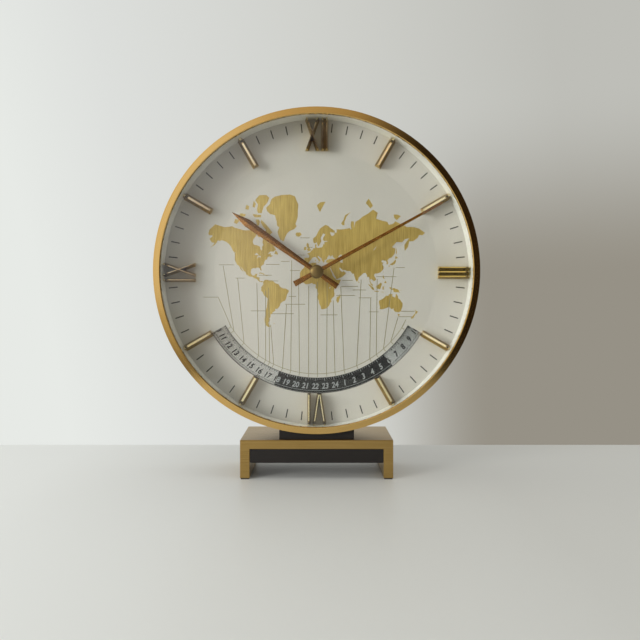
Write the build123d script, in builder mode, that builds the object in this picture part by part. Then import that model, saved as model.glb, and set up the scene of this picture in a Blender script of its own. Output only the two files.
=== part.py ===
# World time clock: a round battery clock on a bridge stand, with a 24 hour ring turning behind the dial.
# X runs to the right as the viewer sees the dial, Y to the back and Z up, in millimetres.
# The origin is on the table, under the middle of the clock's width and depth.

import os
from math import acos, cos, pi, radians, sin, sqrt, tan

from build123d import *

os.makedirs("parts", exist_ok=True)

# Case and ring, seen from the front
ring_diameter = 250.0
ring_radius = ring_diameter / 2
lip_width = 5.1
bezel_band = 14.0
bezel_skirt = 0.9
lip_bevel = 0.5
case_wall = 1.2
case_depth = 62.0
fit_gap = 0.1

# Glass and the white wall ring between the glass and the dial
lip_thickness = 3.2
crystal_thickness = 2.4
crystal_edge_gap = 0.3
wall_ring_thickness = 1.2

# Dial, its window and its raised hour marks
dial_depth = 27.0
dial_thickness = 1.0
dial_edge_gap = 0.3
lug_thickness = 2.5
lug_reach = 8.0
lug_width = 12.0
dial_hole_radius = 3.6
window_width = 11.7
window_mark_gap = 0.3
window_half_angle = 60.0
mark_length = 24.3
mark_wall_gap = 0.6
mark_height = 10.5
bar_width = 5.4
bar_top_width = 1.6
numeral_bar_width = 3.0
numeral_bar_top_width = 0.7
numeral_pitch = 3.2
three_pitch = 3.5
cross_stroke_width = 2.9
cross_stroke_top_width = 0.8
cross_span = 8.7
vee_span = 8.4
vee_apex_gap = 0.8
cross_to_bar_gap = 0.9

# Hands
minute_angle = 61.2
hour_angle = 305.1
hand_edge = 0.5
hand_bevel_share = 0.36
hand_gap = 0.6
minute_tip_gap = 9.5
minute_hub_width = 3.3
minute_tip_width = 1.8
hand_tail_length = 20.0
hand_tail_width = 4.7
hour_tip_gap = 3.6
hour_hub_width = 3.4
hour_blade_width = 6.6
hour_blade_length = 14.5
hour_tip_width = 0.4
hand_boss_radius = 4.6
hand_boss_height = 1.3
cap_radius = 5.4
cap_height = 2.2
cap_brim = 0.8
cap_top_radius = 3.4
cap_wall = 0.8
hand_depth = 17.6

# World ring behind the dial
running_gap = 0.8
world_ring_overlap = 2.2
world_ring_thickness = 0.8
world_ring_hub_seat = 5.0
hub_seat_sides = 6

# Motion work: wheels, pinions and the pipes that turn on one another
arbor_radius = 1.5
pipe_wall = 1.1
turning_clearance = 0.05
fixed_clearance = 0.02
end_float = 0.3
gear_thickness = 1.4
level_gap = 0.5
pressure_angle = 25.0
addendum_share = 0.8
dedendum_share = 1.1
tooth_backlash = 0.12
curved_below_teeth = 12
minute_centres = 15.0
transfer_centres = 18.0
cannon_teeth = 8
minute_wheel_teeth = 24
minute_pinion_teeth = 8
hour_wheel_teeth = 32
hour_pinion_teeth = 8
transfer_wheel_teeth = 24
transfer_pinion_teeth = 8
world_gear_teeth = 16
stud_radius = 1.2

# Carrier plate and the dial's feet
carrier_thickness = 1.6
carrier_hub_radius = 42.0
carrier_arm_width = 16.0
arbor_hole_gap = 0.5
foot_ring_gap = 6.5
foot_radius = 3.0
foot_count = 3
foot_start_angle = -30.0
nut_across = 5.5
nut_thickness = 2.4
stud_end = 1.0
small_screw_radius = 1.5
small_head_radius = 2.9
small_head_height = 1.7
small_screw_length = 7.0
screw_sides = 12

# Movement case with its open battery trough
housing_half_width = 34.0
housing_top = 29.0
housing_bottom = 53.0
housing_stand_out = 1.0
housing_corner = 5.0
housing_edge = 1.0
opening_gap = 0.8
housing_screw_x = 27.0
housing_screw_z = 21.0
housing_floor = 2.0
cell_radius = 13.1
cell_length = 46.0
cell_nub_radius = 3.4
cell_nub_length = 2.0
cell_drop = 37.0
trough_gap = 0.3
trough_half_length = 30.0
contact_thickness = 0.5
contact_width = 12.0
contact_height = 14.0
spring_fold = 1.0
spring_foot = 1.5
finger_notch_width = 20.0
finger_notch_depth = 12.0

# Setting knob
knob_radius = 8.5
knob_length = 6.8
knob_gap = 1.2
knob_ridges = 20
knob_ridge_depth = 0.6
knob_edge = 0.6

# Stand
stand_width = 117.8
stand_height = 30.2
stand_depth = 66.5
stand_setback = 1.5
stand_leg = 7.4
stand_top = 7.1
stand_edge = 0.35
felt_thickness = 0.8
felt_inset = 0.5
under_block_height = 10.6
under_block_inset = 0.3
under_block_side_gap = 0.2
pedestal_width = 57.8
pedestal_waist = 4.6
pedestal_front_inset = 3.6
block_edge = 0.4
saddle_gap = 0.3
stand_screw_radius = 2.0
stand_screw_head_radius = 3.8
stand_screw_head_height = 2.6
stand_screw_hole_gap = 0.25
stand_screw_bore_gap = 0.4
stand_screw_bore_depth = 5.0
stand_screw_spread = 30.0
nut_plate_thickness = 3.0
nut_plate_width = 42.0
nut_plate_depth = 18.0
nut_plate_gap = 0.3

cut_overrun = 1.0

# Depths, counted from the ring's front face towards the back
crystal_front = lip_thickness
crystal_rear = crystal_front + crystal_thickness
dial_rear = dial_depth + dial_thickness
world_ring_front = dial_rear + running_gap
world_ring_rear = world_ring_front + world_ring_thickness
world_gear_front = world_ring_rear
world_gear_rear = world_gear_front + gear_thickness
transfer_wheel_front = world_gear_rear + level_gap
transfer_wheel_rear = transfer_wheel_front + gear_thickness
hour_wheel_front = transfer_wheel_rear + level_gap
hour_wheel_rear = hour_wheel_front + gear_thickness
minute_wheel_front = hour_wheel_rear + level_gap
minute_wheel_rear = minute_wheel_front + gear_thickness
carrier_front = minute_wheel_rear + level_gap
carrier_rear = carrier_front + carrier_thickness
housing_rear = case_depth + housing_stand_out
knob_front = housing_rear + knob_gap
overall_depth = knob_front + knob_length
stand_screw_depth = (dial_rear + lug_thickness + case_depth - case_wall) / 2

# Radii that pieces share
case_radius = ring_radius - bezel_skirt - fit_gap
case_inner_radius = case_radius - case_wall
wall_ring_outer_radius = case_inner_radius - fit_gap
wall_ring_radius = wall_ring_outer_radius - wall_ring_thickness
crystal_radius = case_inner_radius - crystal_edge_gap
lip_radius = ring_radius - lip_width
mark_outer_radius = wall_ring_radius - mark_wall_gap
mark_inner_radius = mark_outer_radius - mark_length
window_outer_radius = mark_inner_radius - window_mark_gap
window_inner_radius = window_outer_radius - window_width
world_ring_radius = window_outer_radius + world_ring_overlap
foot_circle_radius = world_ring_radius + foot_ring_gap + foot_radius
minute_length = wall_ring_radius - minute_tip_gap
hour_length = window_inner_radius - hour_tip_gap
pipe_inner_radius = arbor_radius + turning_clearance
pipe_radius = pipe_inner_radius + pipe_wall
hub_bore_radius = pipe_radius + turning_clearance
stud_bore_radius = stud_radius + turning_clearance
minute_module = 2 * minute_centres / (cannon_teeth + minute_wheel_teeth)
hour_module = 2 * minute_centres / (minute_pinion_teeth + hour_wheel_teeth)
transfer_module = 2 * transfer_centres / (hour_pinion_teeth + transfer_wheel_teeth)
world_module = 2 * transfer_centres / (transfer_pinion_teeth + world_gear_teeth)

# Heights and the planes everything is drawn on
axis_height = stand_height + pedestal_waist + saddle_gap + ring_radius
front_y = -overall_depth / 2
stand_front_y = front_y + stand_setback
under_block_bottom = stand_height - stand_top - under_block_height
head_seat_z = under_block_bottom + stand_screw_bore_depth

axis_point = Vector(0, front_y, axis_height)
clock_axis = Axis(axis_point, Vector(0, 1, 0))
# On this plane x is the depth behind the ring's front face and y the radius from the clock's axis
section_plane = Plane(origin=axis_point, x_dir=Vector(0, 1, 0), z_dir=Vector(1, 0, 0))


def facing(depth, centre_x=0, centre_z=0):
    # The plane at a depth that faces the viewer, so a positive extrusion grows towards the glass
    return Plane(
        origin=axis_point + Vector(centre_x, depth, centre_z),
        x_dir=Vector(1, 0, 0),
        z_dir=Vector(0, -1, 0),
    )


def section_across(angle, distance, depth):
    # The plane square to a ray of the dial, clockwise from twelve, with its y towards the viewer
    ray = Vector(sin(radians(angle)), 0, cos(radians(angle)))
    across = Vector(cos(radians(angle)), 0, -sin(radians(angle)))
    return Plane(origin=axis_point + Vector(0, depth, 0) + ray * distance, x_dir=across, z_dir=-ray)


def save(piece, name):
    piece.part.label = name
    export_step(piece.part, "parts/" + name + ".step")


def spin(*outline):
    # Turns an outline of depth and radius points about the clock's axis
    with BuildPart(mode=Mode.PRIVATE) as turned:
        with BuildSketch(section_plane):
            with BuildLine():
                Polyline(*outline, close=True)
            make_face()
        revolve(axis=clock_axis)
    add(turned.part)


def polar(radius, angle):
    return (radius * cos(angle), radius * sin(angle))


def few_sided(radius, mode=Mode.ADD):
    # Screws, hidden bosses and press fitted holes are kept light with flat sides in place of a circle
    RegularPolygon(radius, screw_sides, major_radius=False, mode=mode)


def gear_outline(teeth, module, gap_first):
    # The flanks run through points of an involute, one more where a small pinion needs it
    # With gap_first a gap lies on the x axis, and otherwise a tooth does
    pitch_radius = module * teeth / 2
    base_radius = pitch_radius * cos(radians(pressure_angle))
    tip_radius = pitch_radius + addendum_share * module
    root_radius = pitch_radius - dedendum_share * module
    flank_radius = max(root_radius, base_radius)
    rise = tan(radians(pressure_angle)) - radians(pressure_angle)
    half_tooth = pi / (2 * teeth) - tooth_backlash / (4 * pitch_radius)

    def half_angle(radius):
        roll = acos(base_radius / radius)
        return half_tooth + rise - (tan(roll) - roll)

    foot_half = half_angle(flank_radius)
    middle_radius = (flank_radius + tip_radius) / 2
    half_outline = [(root_radius, foot_half), (flank_radius, foot_half)]
    if root_radius == flank_radius:
        half_outline = [(root_radius, foot_half)]
    if teeth < curved_below_teeth:
        half_outline.append((middle_radius, half_angle(middle_radius)))
    half_outline.append((tip_radius, half_angle(tip_radius)))
    points = []
    for tooth in range(teeth):
        centre = 2 * pi / teeth * (tooth + (0.5 if gap_first else 0))
        points += [polar(radius, centre - half) for radius, half in half_outline]
        points += [polar(radius, centre + half) for radius, half in reversed(half_outline)]
    with BuildLine(mode=Mode.PRIVATE) as outline:
        Polyline(*points, close=True)
    make_face(outline.edges())


def gear(front, rear, centre_x, teeth, module, gap_first):
    with BuildPart(mode=Mode.PRIVATE) as toothed:
        with BuildSketch(facing(rear, centre_x)):
            gear_outline(teeth, module, gap_first)
        extrude(amount=rear - front)
    add(toothed.part)


def collar(front, rear, centre_x, radius, mode=Mode.ADD):
    # A round length about an axis of the movement, added or bored away
    with BuildPart(mode=Mode.PRIVATE) as length:
        with BuildSketch(facing(rear, centre_x)):
            Circle(radius)
        extrude(amount=rear - front)
    add(length.part, mode=mode)


def bore(front, rear, centre_x, radius):
    collar(front, rear, centre_x, radius, Mode.SUBTRACT)


def stroke(angle, inner_offset, outer_offset, width, top_width):
    # One raised bar of an hour mark, from the window side of the dial to the wall ring
    with BuildPart(mode=Mode.PRIVATE) as bar:
        for distance, offset in ((mark_inner_radius, inner_offset), (mark_outer_radius, outer_offset)):
            with BuildSketch(section_across(angle, distance, dial_depth)):
                with BuildLine():
                    Polyline(
                        (offset - width / 2, 0),
                        (offset + width / 2, 0),
                        (offset + top_width / 2, mark_height),
                        (offset - top_width / 2, mark_height),
                        close=True,
                    )
                make_face()
        loft(ruled=True)
    add(bar.part)


def ridge_height(width):
    # Both facets of a hand have the same slope, so a wider blade has a higher ridge
    return hand_edge + hand_bevel_share * width / 2


def hand_blade(angle, rear, stations):
    # A hand with a flat back, low edges and a ridge along its middle
    with BuildPart(mode=Mode.PRIVATE) as blade:
        for distance, width in stations:
            with BuildSketch(section_across(angle, distance, rear)):
                with BuildLine():
                    Polyline(
                        (-width / 2, 0),
                        (width / 2, 0),
                        (width / 2, hand_edge),
                        (0, ridge_height(width)),
                        (-width / 2, hand_edge),
                        close=True,
                    )
                make_face()
        loft(ruled=True)
    add(blade.part)


def hand_boss(rear, bore_radius):
    # The boss lies under the cap, and its hole goes through the blade as well
    with BuildPart(mode=Mode.PRIVATE) as boss:
        with BuildSketch(facing(rear)):
            few_sided(hand_boss_radius)
        extrude(amount=hand_boss_height)
    add(boss.part)
    with BuildPart(mode=Mode.PRIVATE) as hole:
        with BuildSketch(facing(rear)):
            few_sided(bore_radius)
        extrude(amount=hand_boss_height)
    add(hole.part, mode=Mode.SUBTRACT)


# Stand: a brass bridge, a dark bar under its top and a dark pedestal that carries the case
with BuildPart() as stand_bridge:
    with BuildSketch(Plane.XZ.offset(-stand_front_y)):
        with Locations((0, (stand_height + felt_thickness) / 2)):
            Rectangle(stand_width, stand_height - felt_thickness)
        with Locations((0, (stand_height - stand_top) / 2)):
            Rectangle(stand_width - 2 * stand_leg, stand_height - stand_top, mode=Mode.SUBTRACT)
    extrude(amount=-stand_depth)
    long_edges = stand_bridge.edges().filter_by(Axis.Y).group_by(Axis.Z)
    chamfer(long_edges[0] + long_edges[-1], length=stand_edge)
    chamfer(stand_bridge.faces().sort_by(Axis.Y)[0].edges(), length=stand_edge)
    chamfer(stand_bridge.faces().sort_by(Axis.Y)[-1].edges(), length=stand_edge)
    with BuildSketch(Plane.XY.offset(stand_height)):
        with Locations((0, front_y + stand_screw_depth)):
            with GridLocations(stand_screw_spread, 0, 2, 1):
                few_sided(stand_screw_radius + stand_screw_hole_gap)
    extrude(amount=-stand_top, mode=Mode.SUBTRACT)
save(stand_bridge, "stand_bridge")

with BuildPart() as foot_felts:
    with BuildSketch(Plane.XY):
        with Locations((0, stand_front_y + stand_depth / 2)):
            with GridLocations(stand_width - stand_leg, 0, 2, 1):
                Rectangle(stand_leg - 2 * felt_inset, stand_depth - 2 * felt_inset)
    extrude(amount=felt_thickness)
save(foot_felts, "foot_felts")

with BuildPart() as under_block:
    with BuildSketch(Plane.XY.offset(under_block_bottom)):
        with Locations((0, stand_front_y + stand_depth / 2)):
            Rectangle(
                stand_width - 2 * stand_leg - 2 * under_block_side_gap,
                stand_depth - 2 * under_block_inset,
            )
    extrude(amount=under_block_height)
    chamfer(under_block.faces().sort_by(Axis.Z)[0].edges(), length=block_edge)
    with BuildSketch(Plane.XY.offset(under_block_bottom)):
        with Locations((0, front_y + stand_screw_depth)):
            with GridLocations(stand_screw_spread, 0, 2, 1):
                few_sided(stand_screw_radius + stand_screw_hole_gap)
    extrude(amount=under_block_height, mode=Mode.SUBTRACT)
    with BuildSketch(Plane.XY.offset(under_block_bottom)):
        with Locations((0, front_y + stand_screw_depth)):
            with GridLocations(stand_screw_spread, 0, 2, 1):
                few_sided(stand_screw_head_radius + stand_screw_bore_gap)
    extrude(amount=stand_screw_bore_depth, mode=Mode.SUBTRACT)
save(under_block, "under_block")

pedestal_depth = case_depth - stand_setback - pedestal_front_inset
with BuildPart() as pedestal_block:
    with BuildSketch(Plane.XY.offset(stand_height)):
        with Locations((0, stand_front_y + pedestal_front_inset + pedestal_depth / 2)):
            Rectangle(pedestal_width, pedestal_depth)
    extrude(amount=ring_radius)
    chamfer(pedestal_block.edges().filter_by(Axis.Z), length=block_edge)
    with BuildSketch(facing(case_depth + cut_overrun)):
        Circle(case_radius + saddle_gap)
    extrude(amount=case_depth + cut_overrun, mode=Mode.SUBTRACT)
    with BuildSketch(facing(bezel_band + saddle_gap)):
        Circle(ring_radius + saddle_gap)
    extrude(amount=bezel_band + saddle_gap, mode=Mode.SUBTRACT)
    with BuildSketch(Plane.XY.offset(axis_height)):
        Rectangle(ring_diameter, 2 * case_depth)
    extrude(amount=ring_radius, mode=Mode.SUBTRACT)
    with BuildSketch(Plane.XY.offset(stand_height)):
        with Locations((0, front_y + stand_screw_depth)):
            with GridLocations(stand_screw_spread, 0, 2, 1):
                few_sided(stand_screw_radius + stand_screw_hole_gap)
    extrude(amount=ring_radius, mode=Mode.SUBTRACT)
save(pedestal_block, "pedestal_block")

# The case is screwed down from under the stand into a bar that lies across the drum's curve
nut_bar_z = axis_height - sqrt(case_inner_radius**2 - (nut_plate_width / 2) ** 2) + nut_plate_gap
screw_tip_z = nut_bar_z + nut_plate_thickness
with BuildPart() as stand_screws:
    with BuildSketch(Plane.XY.offset(head_seat_z)):
        with Locations((0, front_y + stand_screw_depth)):
            with GridLocations(stand_screw_spread, 0, 2, 1):
                few_sided(stand_screw_radius)
    extrude(amount=screw_tip_z - head_seat_z)
    with BuildSketch(Plane.XY.offset(head_seat_z)):
        with Locations((0, front_y + stand_screw_depth)):
            with GridLocations(stand_screw_spread, 0, 2, 1):
                few_sided(stand_screw_head_radius)
    extrude(amount=-stand_screw_head_height)
save(stand_screws, "stand_screws")

with BuildPart() as saddle_nut_plate:
    with BuildSketch(Plane.XY.offset(nut_bar_z)):
        with Locations((0, front_y + stand_screw_depth)):
            Rectangle(nut_plate_width, nut_plate_depth)
            with GridLocations(stand_screw_spread, 0, 2, 1):
                few_sided(stand_screw_radius + fixed_clearance, Mode.SUBTRACT)
    extrude(amount=nut_plate_thickness)
save(saddle_nut_plate, "saddle_nut_plate")

# Case: a deep cup with three lugs behind the dial and an opening for the movement
housing_height = housing_top + housing_bottom
housing_middle = (housing_top - housing_bottom) / 2
with BuildPart() as case_drum:
    spin(
        (lip_thickness, case_radius),
        (case_depth, case_radius),
        (case_depth, 0),
        (case_depth - case_wall, 0),
        (case_depth - case_wall, case_inner_radius),
        (lip_thickness, case_inner_radius),
    )
    with BuildSketch(facing(dial_rear + lug_thickness)):
        with PolarLocations(case_inner_radius - lug_reach / 2, foot_count, start_angle=foot_start_angle):
            Rectangle(lug_reach + case_wall, lug_width)
    extrude(amount=lug_thickness)
    with BuildSketch(facing(case_depth)):
        with Locations((0, housing_middle)):
            Rectangle(2 * (housing_half_width + opening_gap), housing_height + 2 * opening_gap)
        chamfer(vertices(), length=housing_corner + opening_gap)
    extrude(amount=case_wall, mode=Mode.SUBTRACT)
    with BuildSketch(Plane.XY):
        with Locations((0, front_y + stand_screw_depth)):
            with GridLocations(stand_screw_spread, 0, 2, 1):
                few_sided(stand_screw_radius + stand_screw_hole_gap)
    extrude(amount=axis_height - housing_bottom - opening_gap, mode=Mode.SUBTRACT)
save(case_drum, "case_drum")

# Bezel: a flat lip over the glass and a skirt over the front of the drum
with BuildPart() as bezel_ring:
    spin(
        (lip_bevel, lip_radius),
        (0, lip_radius + lip_bevel),
        (0, ring_radius),
        (bezel_band, ring_radius),
        (bezel_band, case_radius + fit_gap),
        (lip_thickness, case_radius + fit_gap),
        (lip_thickness, lip_radius),
    )
save(bezel_ring, "bezel_ring")

with BuildPart() as crystal:
    with BuildSketch(facing(crystal_rear)):
        Circle(crystal_radius)
    extrude(amount=crystal_thickness)
save(crystal, "crystal")

with BuildPart() as wall_ring:
    spin(
        (crystal_rear, wall_ring_radius),
        (crystal_rear, wall_ring_outer_radius),
        (dial_depth, wall_ring_outer_radius),
        (dial_depth, wall_ring_radius),
    )
save(wall_ring, "wall_ring")

# Dial with its window, its feet and the raised hour marks
with BuildPart() as dial_plate:
    with BuildSketch(facing(dial_rear)):
        Circle(case_inner_radius - dial_edge_gap)
        few_sided(dial_hole_radius, Mode.SUBTRACT)
    extrude(amount=dial_thickness)
    with BuildSketch(facing(dial_rear)):
        window_start = -90 - window_half_angle
        with BuildLine():
            window_outer = CenterArc((0, 0), window_outer_radius, window_start, 2 * window_half_angle)
            window_inner = CenterArc((0, 0), window_inner_radius, window_start, 2 * window_half_angle)
            Line(window_outer @ 0, window_inner @ 0)
            Line(window_outer @ 1, window_inner @ 1)
        make_face()
    extrude(amount=dial_thickness, mode=Mode.SUBTRACT)
save(dial_plate, "dial_plate")

stud_length = carrier_thickness + nut_thickness + stud_end
with BuildPart() as dial_feet:
    with BuildSketch(facing(carrier_front)):
        with PolarLocations(foot_circle_radius, foot_count, start_angle=foot_start_angle):
            RegularPolygon(foot_radius, 6, major_radius=False)
    extrude(amount=carrier_front - dial_rear)
    with BuildSketch(facing(carrier_front + stud_length)):
        with PolarLocations(foot_circle_radius, foot_count, start_angle=foot_start_angle):
            few_sided(small_screw_radius)
    extrude(amount=stud_length)
save(dial_feet, "dial_feet")

with BuildPart() as hour_bars:
    for hour in (1, 2, 4, 5, 7, 8, 10, 11):
        stroke(30 * hour, 0, 0, bar_width, bar_top_width)
save(hour_bars, "hour_bars")

with BuildPart() as numeral_three:
    for place in (-1, 0, 1):
        offset = place * three_pitch
        stroke(90, offset, offset, numeral_bar_width, numeral_bar_top_width)
save(numeral_three, "numeral_three")

# X and V are as wide as their strokes' centre lines span, and the bars follow at the numeral pitch
cross_half = cross_span / 2
bar_step = cross_half + cross_stroke_width / 2 + cross_to_bar_gap + numeral_bar_width / 2
twelve_shift = (bar_step + numeral_pitch - cross_half) / 2
with BuildPart() as numeral_twelve:
    left = -twelve_shift - cross_half
    right = -twelve_shift + cross_half
    stroke(0, right, left, cross_stroke_width, cross_stroke_top_width)
    stroke(0, left, right, cross_stroke_width, cross_stroke_top_width)
    for step in (0, 1):
        offset = bar_step - twelve_shift + step * numeral_pitch
        stroke(0, offset, offset, numeral_bar_width, numeral_bar_top_width)
save(numeral_twelve, "numeral_twelve")

nine_shift = (bar_step - cross_half) / 2
with BuildPart() as numeral_nine:
    left = nine_shift - cross_half
    right = nine_shift + cross_half
    stroke(270, right, left, cross_stroke_width, cross_stroke_top_width)
    stroke(270, left, right, cross_stroke_width, cross_stroke_top_width)
    offset = nine_shift - bar_step
    stroke(270, offset, offset, cross_stroke_width, cross_stroke_top_width)
save(numeral_nine, "numeral_nine")

vee_half = vee_span / 2
six_shift = (bar_step - vee_half) / 2
with BuildPart() as numeral_six:
    apex = vee_apex_gap / 2
    stroke(180, -six_shift - apex, -six_shift - vee_half, cross_stroke_width, cross_stroke_top_width)
    stroke(180, -six_shift + apex, -six_shift + vee_half, cross_stroke_width, cross_stroke_top_width)
    offset = bar_step - six_shift
    stroke(180, offset, offset, cross_stroke_width, cross_stroke_top_width)
save(numeral_six, "numeral_six")

# World ring: a thin disc that carries the three days of hours, and its toothed hub
with BuildPart() as world_ring:
    with BuildSketch(facing(world_ring_rear)):
        Circle(world_ring_radius)
        RegularPolygon(
            world_ring_hub_seat + fixed_clearance,
            hub_seat_sides,
            major_radius=False,
            mode=Mode.SUBTRACT,
        )
    extrude(amount=world_ring_thickness)
save(world_ring, "world_ring")

with BuildPart() as world_ring_hub:
    with BuildSketch(facing(world_gear_front)):
        RegularPolygon(world_ring_hub_seat, hub_seat_sides, major_radius=False)
    extrude(amount=world_gear_front - dial_rear - end_float)
    gear(world_gear_front, world_gear_rear, 0, world_gear_teeth, world_module, True)
    bore(dial_rear, world_gear_rear, 0, hub_bore_radius)
save(world_ring_hub, "world_ring_hub")

# Hands, their cap and the arbor that carries the minute hand through to the setting knob
hour_hand_rear = hand_depth
hour_hand_front = hour_hand_rear - max(hand_boss_height, ridge_height(hour_blade_width))
minute_hand_rear = hour_hand_front - hand_gap
minute_hand_front = minute_hand_rear - hand_boss_height
arbor_front = minute_hand_front - cap_height + cap_wall
with BuildPart() as minute_arbor:
    collar(arbor_front, overall_depth - knob_edge, 0, arbor_radius)
    gear(minute_wheel_front, minute_wheel_rear, 0, cannon_teeth, minute_module, False)
save(minute_arbor, "minute_arbor")

with BuildPart() as minute_hand:
    hand_blade(
        minute_angle,
        minute_hand_rear,
        (
            (-hand_tail_length, hand_tail_width),
            (0, minute_hub_width),
            (minute_length, minute_tip_width),
        ),
    )
    hand_boss(minute_hand_rear, arbor_radius + fixed_clearance)
save(minute_hand, "minute_hand")

with BuildPart() as hour_hand:
    hand_blade(
        hour_angle,
        hour_hand_rear,
        (
            (-hand_tail_length, hand_tail_width),
            (0, hour_hub_width),
            (hour_length - hour_blade_length, hour_blade_width),
            (hour_length, hour_tip_width),
        ),
    )
    hand_boss(hour_hand_rear, pipe_radius + fixed_clearance)
save(hour_hand, "hour_hand")

cap_front = minute_hand_front - cap_height
with BuildPart() as hand_cap:
    spin(
        (cap_front, 0),
        (cap_front, cap_top_radius),
        (minute_hand_front - cap_brim, cap_radius),
        (minute_hand_front, cap_radius),
        (minute_hand_front, 0),
    )
    with BuildSketch(facing(minute_hand_front)):
        few_sided(arbor_radius + fixed_clearance)
    extrude(amount=minute_hand_front - arbor_front, mode=Mode.SUBTRACT)
save(hand_cap, "hand_cap")

# Wheels of the motion work
with BuildPart() as hour_wheel:
    gear(hour_wheel_front, hour_wheel_rear, 0, hour_wheel_teeth, hour_module, True)
    gear(transfer_wheel_front, hour_wheel_front, 0, hour_pinion_teeth, transfer_module, False)
    collar(hour_hand_rear - hand_boss_height, transfer_wheel_front, 0, pipe_radius)
    bore(0, hour_wheel_rear, 0, pipe_inner_radius)
save(hour_wheel, "hour_wheel")

with BuildPart() as minute_wheel:
    gear(hour_wheel_front, minute_wheel_front, -minute_centres, minute_pinion_teeth, hour_module, False)
    gear(minute_wheel_front, minute_wheel_rear, -minute_centres, minute_wheel_teeth, minute_module, True)
    bore(0, carrier_front, -minute_centres, stud_bore_radius)
save(minute_wheel, "minute_wheel")

with BuildPart() as transfer_wheel:
    gear(
        world_gear_front,
        transfer_wheel_front,
        transfer_centres,
        transfer_pinion_teeth,
        world_module,
        False,
    )
    gear(
        transfer_wheel_front,
        transfer_wheel_rear,
        transfer_centres,
        transfer_wheel_teeth,
        transfer_module,
        True,
    )
    bore(0, carrier_front, transfer_centres, stud_bore_radius)
save(transfer_wheel, "transfer_wheel")

# Carrier plate: a six-sided middle with the wheels' two studs and three arms to the dial's feet
housing_screw_places = ((-housing_screw_x, housing_screw_z), (housing_screw_x, -housing_screw_z))
with BuildPart() as carrier_plate:
    with BuildSketch(facing(carrier_rear)):
        RegularPolygon(carrier_hub_radius, 6)
        with PolarLocations(foot_circle_radius / 2, foot_count, start_angle=foot_start_angle):
            Rectangle(foot_circle_radius + carrier_arm_width, carrier_arm_width)
        with PolarLocations(foot_circle_radius, foot_count, start_angle=foot_start_angle):
            few_sided(small_screw_radius + fixed_clearance, Mode.SUBTRACT)
        with Locations(*housing_screw_places):
            few_sided(small_screw_radius + fixed_clearance, Mode.SUBTRACT)
        few_sided(arbor_radius + arbor_hole_gap, Mode.SUBTRACT)
    extrude(amount=carrier_thickness)
    collar(hour_wheel_front - end_float, carrier_rear, -minute_centres, stud_radius)
    collar(world_gear_front, carrier_rear, transfer_centres, stud_radius)
save(carrier_plate, "carrier_plate")

with BuildPart() as foot_nuts:
    with BuildSketch(facing(carrier_rear + nut_thickness)):
        with PolarLocations(foot_circle_radius, foot_count, start_angle=foot_start_angle):
            RegularPolygon(nut_across / 2, 6, major_radius=False)
            few_sided(small_screw_radius + fixed_clearance, Mode.SUBTRACT)
    extrude(amount=nut_thickness)
save(foot_nuts, "foot_nuts")

# Movement case: a moulded box with a trough for one large round cell
trough_centre_depth = carrier_rear + housing_floor + trough_gap + cell_radius
with BuildPart() as movement_housing:
    with BuildSketch(facing(housing_rear)):
        with Locations((0, housing_middle)):
            Rectangle(2 * housing_half_width, housing_height)
        chamfer(vertices(), length=housing_corner)
    extrude(amount=housing_rear - carrier_rear)
    chamfer(movement_housing.faces().sort_by(Axis.Y)[-1].edges(), length=housing_edge)
    with BuildSketch(Plane.YZ.offset(-trough_half_length)):
        with Locations((front_y + trough_centre_depth, axis_height - cell_drop)):
            Circle(cell_radius + trough_gap)
        with Locations((front_y + trough_centre_depth + housing_rear / 2, axis_height - cell_drop)):
            Rectangle(housing_rear, 2 * (cell_radius + trough_gap))
    extrude(amount=2 * trough_half_length, mode=Mode.SUBTRACT)
    with BuildSketch(Plane.XY.offset(axis_height - housing_bottom)):
        with Locations((0, front_y + housing_rear)):
            Rectangle(finger_notch_width, 2 * finger_notch_depth)
    extrude(amount=housing_bottom - cell_drop, mode=Mode.SUBTRACT)
    bore(carrier_rear, housing_rear, 0, pipe_inner_radius)
    with BuildSketch(facing(carrier_rear + small_screw_length + end_float)):
        with Locations(*housing_screw_places):
            few_sided(small_screw_radius + fixed_clearance)
    extrude(amount=small_screw_length + end_float, mode=Mode.SUBTRACT)
save(movement_housing, "movement_housing")

# These screws go in from the dial side, so their heads lie in front of the carrier
with BuildPart() as housing_screws:
    with BuildSketch(facing(carrier_rear + small_screw_length)):
        with Locations(*housing_screw_places):
            few_sided(small_screw_radius)
    extrude(amount=carrier_thickness + small_screw_length)
    with BuildSketch(facing(carrier_front)):
        with Locations(*housing_screw_places):
            few_sided(small_head_radius)
    extrude(amount=small_head_height)
save(housing_screws, "housing_screws")

# The cell lies across the clock, its nub against the plain contact and its base on the sprung one
cell_plane = Plane(
    origin=(
        trough_half_length - contact_thickness - trough_gap,
        front_y + trough_centre_depth,
        axis_height - cell_drop,
    ),
    x_dir=Vector(0, 1, 0),
    z_dir=Vector(-1, 0, 0),
)
with BuildPart() as battery_cell:
    with BuildSketch(cell_plane):
        few_sided(cell_nub_radius)
    extrude(amount=cell_nub_length)
    with BuildSketch(cell_plane.offset(cell_nub_length)):
        Circle(cell_radius)
    extrude(amount=cell_length)
save(battery_cell, "battery_cell")

with BuildPart() as contact_plate:
    with BuildSketch(Plane.YZ.offset(trough_half_length - contact_thickness)):
        with Locations((front_y + trough_centre_depth, axis_height - cell_drop)):
            Rectangle(contact_width, contact_height)
    extrude(amount=contact_thickness)
save(contact_plate, "contact_plate")

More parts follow.
